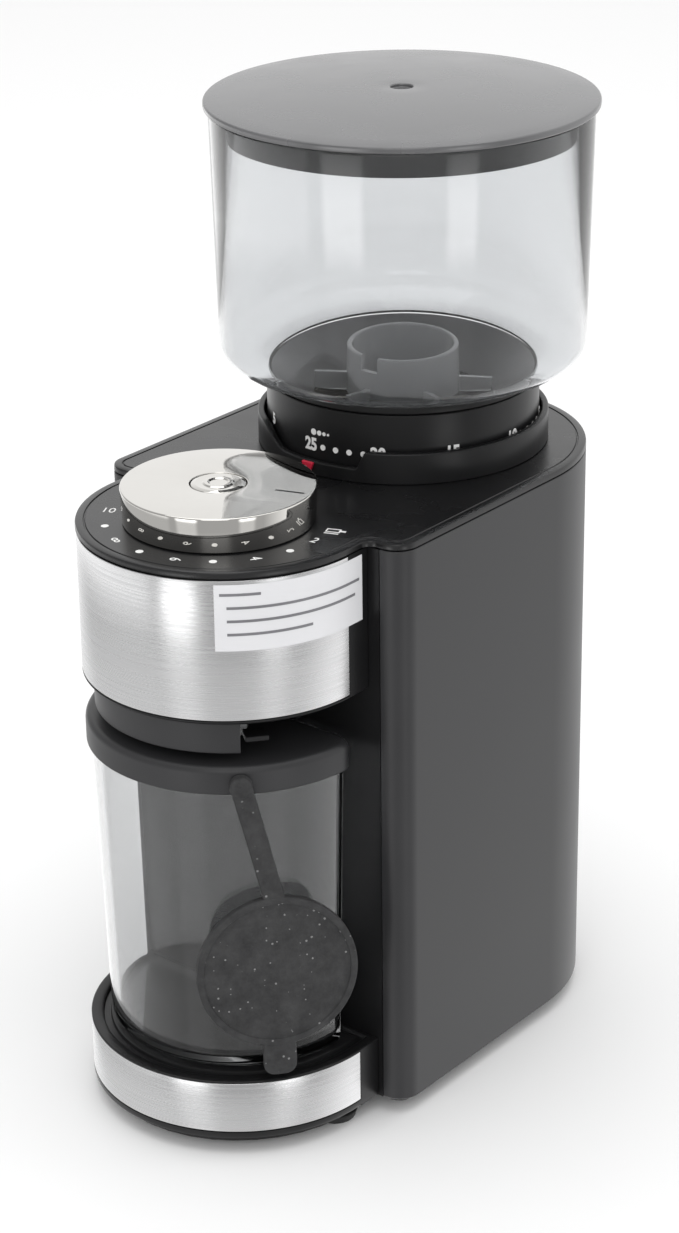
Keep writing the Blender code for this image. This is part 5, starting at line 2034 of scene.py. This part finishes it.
@dataclass
class JarCap(SubAssembly):
    """The silicone cap: a stud, a strap that hangs below it, and a rimmed disc with a pull tab."""

    anchor_deg: float = 42.5
    anchor_height: float = 0.1237
    anchor_reach: float = 0.0464
    bend_height: float = 0.1187
    bend_above: float = 0.0014
    bend_below: float = 0.0060
    disc_deg: float = 54.0
    face_deg: float = 50.0
    lean_deg: float = 3.0
    reach: float = 0.0463
    disc_height: float = 0.0624
    radius: float = 0.0242
    thickness: float = 0.0028
    rim_width: float = 0.0021
    rim_step: float = 0.0007
    strap_width: float = 0.0066
    strap_thickness: float = 0.0020
    strap_bow: float = 0.0008
    stud_radius: float = 0.0034
    tab_half: float = 0.0050
    tab_reach: float = 0.0100
    stations: int = 28

    @staticmethod
    def facing(angle: float) -> tuple[Vector, Vector]:
        """The directions across and outwards at an angle from straight ahead towards +X."""
        return (Vector((math.cos(angle), math.sin(angle), 0.0)),
                Vector((math.sin(angle), -math.cos(angle), 0.0)))

    def frame_of_disc(self) -> tuple[Vector, Vector, Vector, Vector]:
        """The disc's centre, and its directions across, up and out."""
        face, lean = math.radians(self.face_deg), math.radians(self.lean_deg)
        out = Vector((math.sin(face) * math.cos(lean), -math.cos(face) * math.cos(lean),
                      math.sin(lean)))
        across = Vector((math.cos(face), math.sin(face), 0.0))
        return on_head(self.reach, self.disc_deg, self.disc_height), across, out.cross(across), out

    def build(self) -> None:
        """Build the cap as one piece."""
        centre, across, up, out = self.frame_of_disc()
        turn = Matrix((across, up, out)).transposed().to_4x4()
        seat = Matrix.Translation(centre) @ turn
        half = self.thickness / 2
        edge, face = self.radius - self.rim_width, half - self.rim_step
        disc = self.turned([(0.0, face, 0.0), (edge, face, 0.0006), (edge, half, 0.0003),
                            (self.radius, half, 0.0006), (self.radius, -half, 0.0006),
                            (0.0, -half, 0.0)], (0.0, 0.0), "cap_silicone")
        disc.transform(seat)
        tab = self.tab()
        tab.transform(seat)
        strap = self.strap(centre, up, out)
        stud = self.turned([(0.0, 0.0016, 0.0), (self.stud_radius, 0.0014, 0.0010),
                            (self.stud_radius, -0.0015, 0.0), (0.0, -0.0015, 0.0)], (0.0, 0.0),
                           "cap_silicone")
        side, ahead = self.facing(math.radians(self.anchor_deg))
        anchor = on_head(self.anchor_reach, self.anchor_deg, self.anchor_height)
        stud.transform(Matrix.Translation(anchor)
                       @ Matrix((side, ahead.cross(side), ahead)).transposed().to_4x4())
        whole = combined(strap, [disc, stud, tab], "UNION")
        piece = self.add("jar_cap_visual", whole, "cap_silicone", None, Slot.SILICONE,
                         ["jar_cap", "cap_stud"])
        start, end = (on_head(self.anchor_reach, self.anchor_deg, self.bend_height + rise)
                      for rise in (self.bend_above, -self.bend_below))
        tuple(start)
        tuple(end)
        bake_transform(piece)

    def tab(self) -> bpy.types.Mesh:
        """The pull tab below the disc, in the disc's own directions."""
        low, high = -self.radius - self.tab_reach, -self.radius + 0.0020
        half, edge = 0.0011, 0.0004

        def plan(wide: float, foot: float, rounding: float) -> Outline:
            return soften([(-wide, high, 0.0), (-wide, foot, rounding), (wide, foot, rounding),
                           (wide, high, 0.0)], 8)

        outline = plan(self.tab_half, low, 0.0034)
        inner = plan(self.tab_half - edge, low + edge, 0.0030)
        solid = Solid()
        rings = [solid.ring(inner, -half), solid.ring(outline, edge - half),
                 solid.ring(outline, half - edge), solid.ring(inner, half)]
        solid.loft(rings)
        return solid.mesh("tab")

    def strap(self, centre: Vector, up: Vector, out: Vector) -> bpy.types.Mesh:
        """The strap, bowed a little as it hangs from the stud to the disc.

        Args:
            centre: the disc's centre.
            up: the disc's upward direction.
            out: the disc's outward direction.

        Returns:
            The mesh.
        """
        start = on_head(self.anchor_reach, self.anchor_deg, self.anchor_height)
        end = centre + up * (self.radius - 0.0015)
        wide, thick = self.strap_width / 2, self.strap_thickness / 2
        section = soften([(-wide, -thick, 0.0007), (wide, -thick, 0.0007), (wide, thick, 0.0007),
                          (-wide, thick, 0.0007)], 3)
        rows = []
        for step in range(self.stations + 1):
            share = step / self.stations
            bow = out * (self.strap_bow * math.sin(math.pi * share))
            middle = start.lerp(end, share) + bow
            turn = self.anchor_deg + (self.face_deg - self.anchor_deg) * share
            side, ahead = self.facing(math.radians(turn))
            rows.append([middle + side * x + ahead * y for x, y in section])
        return lofted("strap", rows)


@dataclass
class Mechanism(SubAssembly):
    """The inner pieces and the plain panels, which keep the frame's own shapes."""

    def build(self) -> None:
        """Give every node that is still shown its finish."""
        slots = {item["node"]: Slot(item["material_slot"]) for item in frame["record"]["subparts"]}
        for name, node in frame["nodes"].items():
            if node.hide_render:
                continue
            finish = self.bench.paints.BY_SLOT[slots[name]]
            node.data.materials.clear()
            node.data.materials.append(self.bench.paints[finish])
            log.info("%s keeps its shape, in %s", name, finish)


# ---------------------------------------------------------------- studio

@dataclass
class Studio:
    """The camera, a plain pale floor and soft light."""

    azimuth_deg: float = 38.63
    elevation_deg: float = 23.49
    roll_deg: float = -0.77
    distance: float = 0.9717
    target: tuple[float, float, float] = (-0.00098, 0.00416, 0.13859)
    lens_mm: float = 91.15
    sensor_mm: float = 36.0
    floor_half: float = 6.0
    floor_grey: float = 0.86
    white_level: float = 1.0
    dark_level: float = 0.50
    backdrop_level: float = 1.12
    dark_turn: tuple[float, float] = (-0.55, -0.05)
    strips: tuple[Corner, ...] = ((2.0, 24.0, 0.30), (73.0, 18.0, 0.28), (-72.0, 104.0, 0.10))
    strip_boost: float = 12.0
    boost_rise: tuple[float, float] = (-0.320, -0.280)
    strip_end: tuple[float, float] = (-0.22, -0.12)
    floor_glow: float = 0.25
    glow_fall: tuple[float, float] = (-0.40, -0.50)
    strip_softness: float = 3.0
    overhead_power: float = 10.0
    fill_power: float = 4.0

    def build(self) -> None:
        """Set up everything."""
        self.build_camera()
        self.build_floor()
        self.build_lights()
        bpy.context.scene.view_settings.view_transform = "Standard"

    def build_camera(self) -> None:
        """Stand the camera to the right of the front, a little above."""
        turn, rise = math.radians(self.azimuth_deg), math.radians(self.elevation_deg)
        back = Vector((math.sin(turn) * math.cos(rise), -math.cos(turn) * math.cos(rise),
                       math.sin(rise)))
        right = Vector((math.cos(turn), math.sin(turn), 0.0))
        up = back.cross(right)
        roll = math.radians(self.roll_deg)
        rolled_right = right * math.cos(roll) + up * math.sin(roll)
        rolled_up = up * math.cos(roll) - right * math.sin(roll)
        data = bpy.data.cameras.new("camera")
        data.lens = self.lens_mm
        data.sensor_width = self.sensor_mm
        data.clip_start, data.clip_end = 0.05, 50.0
        camera = linked("camera", data)
        place = Matrix((rolled_right, rolled_up, back)).transposed().to_4x4()
        place.translation = Vector(self.target) + back * self.distance
        camera.matrix_world = place
        bpy.context.scene.camera = camera

    def build_floor(self) -> None:
        """A wide pale floor."""
        bm = bmesh.new()
        bmesh.ops.create_grid(bm, x_segments=1, y_segments=1, size=self.floor_half)
        mesh = to_mesh("floor", bm)
        material = bpy.data.materials.new("pale_floor")
        material.use_nodes = True
        shader = material.node_tree.nodes["Principled BSDF"]
        grey = self.floor_grey
        shader.inputs["Base Color"].default_value = (grey, grey, grey, 1.0)
        shader.inputs["Roughness"].default_value = 0.9
        mesh.materials.append(material)
        floor = linked("floor", mesh)
        floor.visible_glossy = False

    def build_lights(self) -> None:
        """A pale surround with a wide soft light above and one in front."""
        self.build_surround()
        self.area("overhead", (0.0, 0.0, 1.6), (1.6, 1.6), self.overhead_power)
        self.area("front_fill", (0.9, -1.3, 1.0), (0.9, 0.9), self.fill_power)

    def build_surround(self) -> None:
        """White all round for the floor and the clear pieces, with dark sides and upright strips in
        what glossy surfaces mirror. The strips are brightest where the hopper mirrors them,
        and end below level."""
        world = bpy.data.worlds.new("surround")
        world.use_nodes = True
        bpy.context.scene.world = world
        maker = TreeMaker(world.node_tree)
        way = maker.add("ShaderNodeTexCoord").outputs["Generated"]
        split = maker.add("ShaderNodeSeparateXYZ", {0: way}).outputs
        ahead = maker.times(split["Y"], -1.0)
        turn = maker.maths("ARCTAN2", split["X"], ahead)
        mirrored = maker.ramp(ahead, self.dark_turn, (self.backdrop_level, self.dark_level))
        glow = maker.ramp(split["Z"], self.glow_fall, (0.0, self.floor_glow))
        mirrored = maker.plus(mirrored, glow)
        rising = maker.ramp(split["Z"], self.boost_rise, (1.0, self.strip_boost))
        ending = maker.ramp(split["Z"], self.strip_end, (1.0, 0.0))
        boost = maker.times(rising, ending)
        soft = math.radians(self.strip_softness)
        for middle, width, level in self.strips:
            away = maker.maths("ABSOLUTE", maker.maths("SUBTRACT", turn, math.radians(middle)))
            half = math.radians(width / 2)
            strip = maker.ramp(away, (half - soft, half + soft), (level, 0.0),
                               interpolation_type="SMOOTHSTEP")
            mirrored = maker.plus(mirrored, maker.times(strip, boost))
        path = maker.add("ShaderNodeLightPath")
        change = maker.times(maker.maths("SUBTRACT", mirrored, self.white_level),
                             path.outputs["Is Glossy Ray"])
        strength = maker.plus(change, self.white_level)
        surround = maker.tree.nodes["Background"].inputs
        maker.tree.links.new(strength, surround["Strength"])
        surround["Color"].default_value = (1.0, 1.0, 1.0, 1.0)

    def area(self, name: str, spot: tuple[float, float, float], size: tuple[float, float],
             power: float) -> None:
        """Hang an area light that looks at the middle of the grinder.

        Args:
            name: the light's name.
            spot: where it hangs.
            size: its width and height.
            power: its power in watts.
        """
        data = bpy.data.lights.new(name, "AREA")
        data.shape = "RECTANGLE"
        data.size, data.size_y = size
        data.energy = power
        light = linked(name, data)
        light.location = spot
        aim = Vector(spot) - Vector((0.0, 0.0, 0.12))
        light.rotation_euler = aim.to_track_quat("Z", "Y").to_euler()
        light.visible_camera = False


def main() -> None:
    """Build the grinder, piece by piece, and the studio round it."""
    logging.basicConfig(level=logging.INFO, format="%(message)s")
    bench = Bench(Paintbox(), NodeShapes())
    assemblies = [Lid(bench), Hopper(bench), SettingRing(bench), TopCover(bench), Dial(bench),
                  Head(bench), Column(bench), Base(bench), Jar(bench), JarCap(bench),
                  Mechanism(bench)]
    Studio().build()
    for assembly in assemblies:
        assembly.build()


if __name__ == "__main__":
    main()
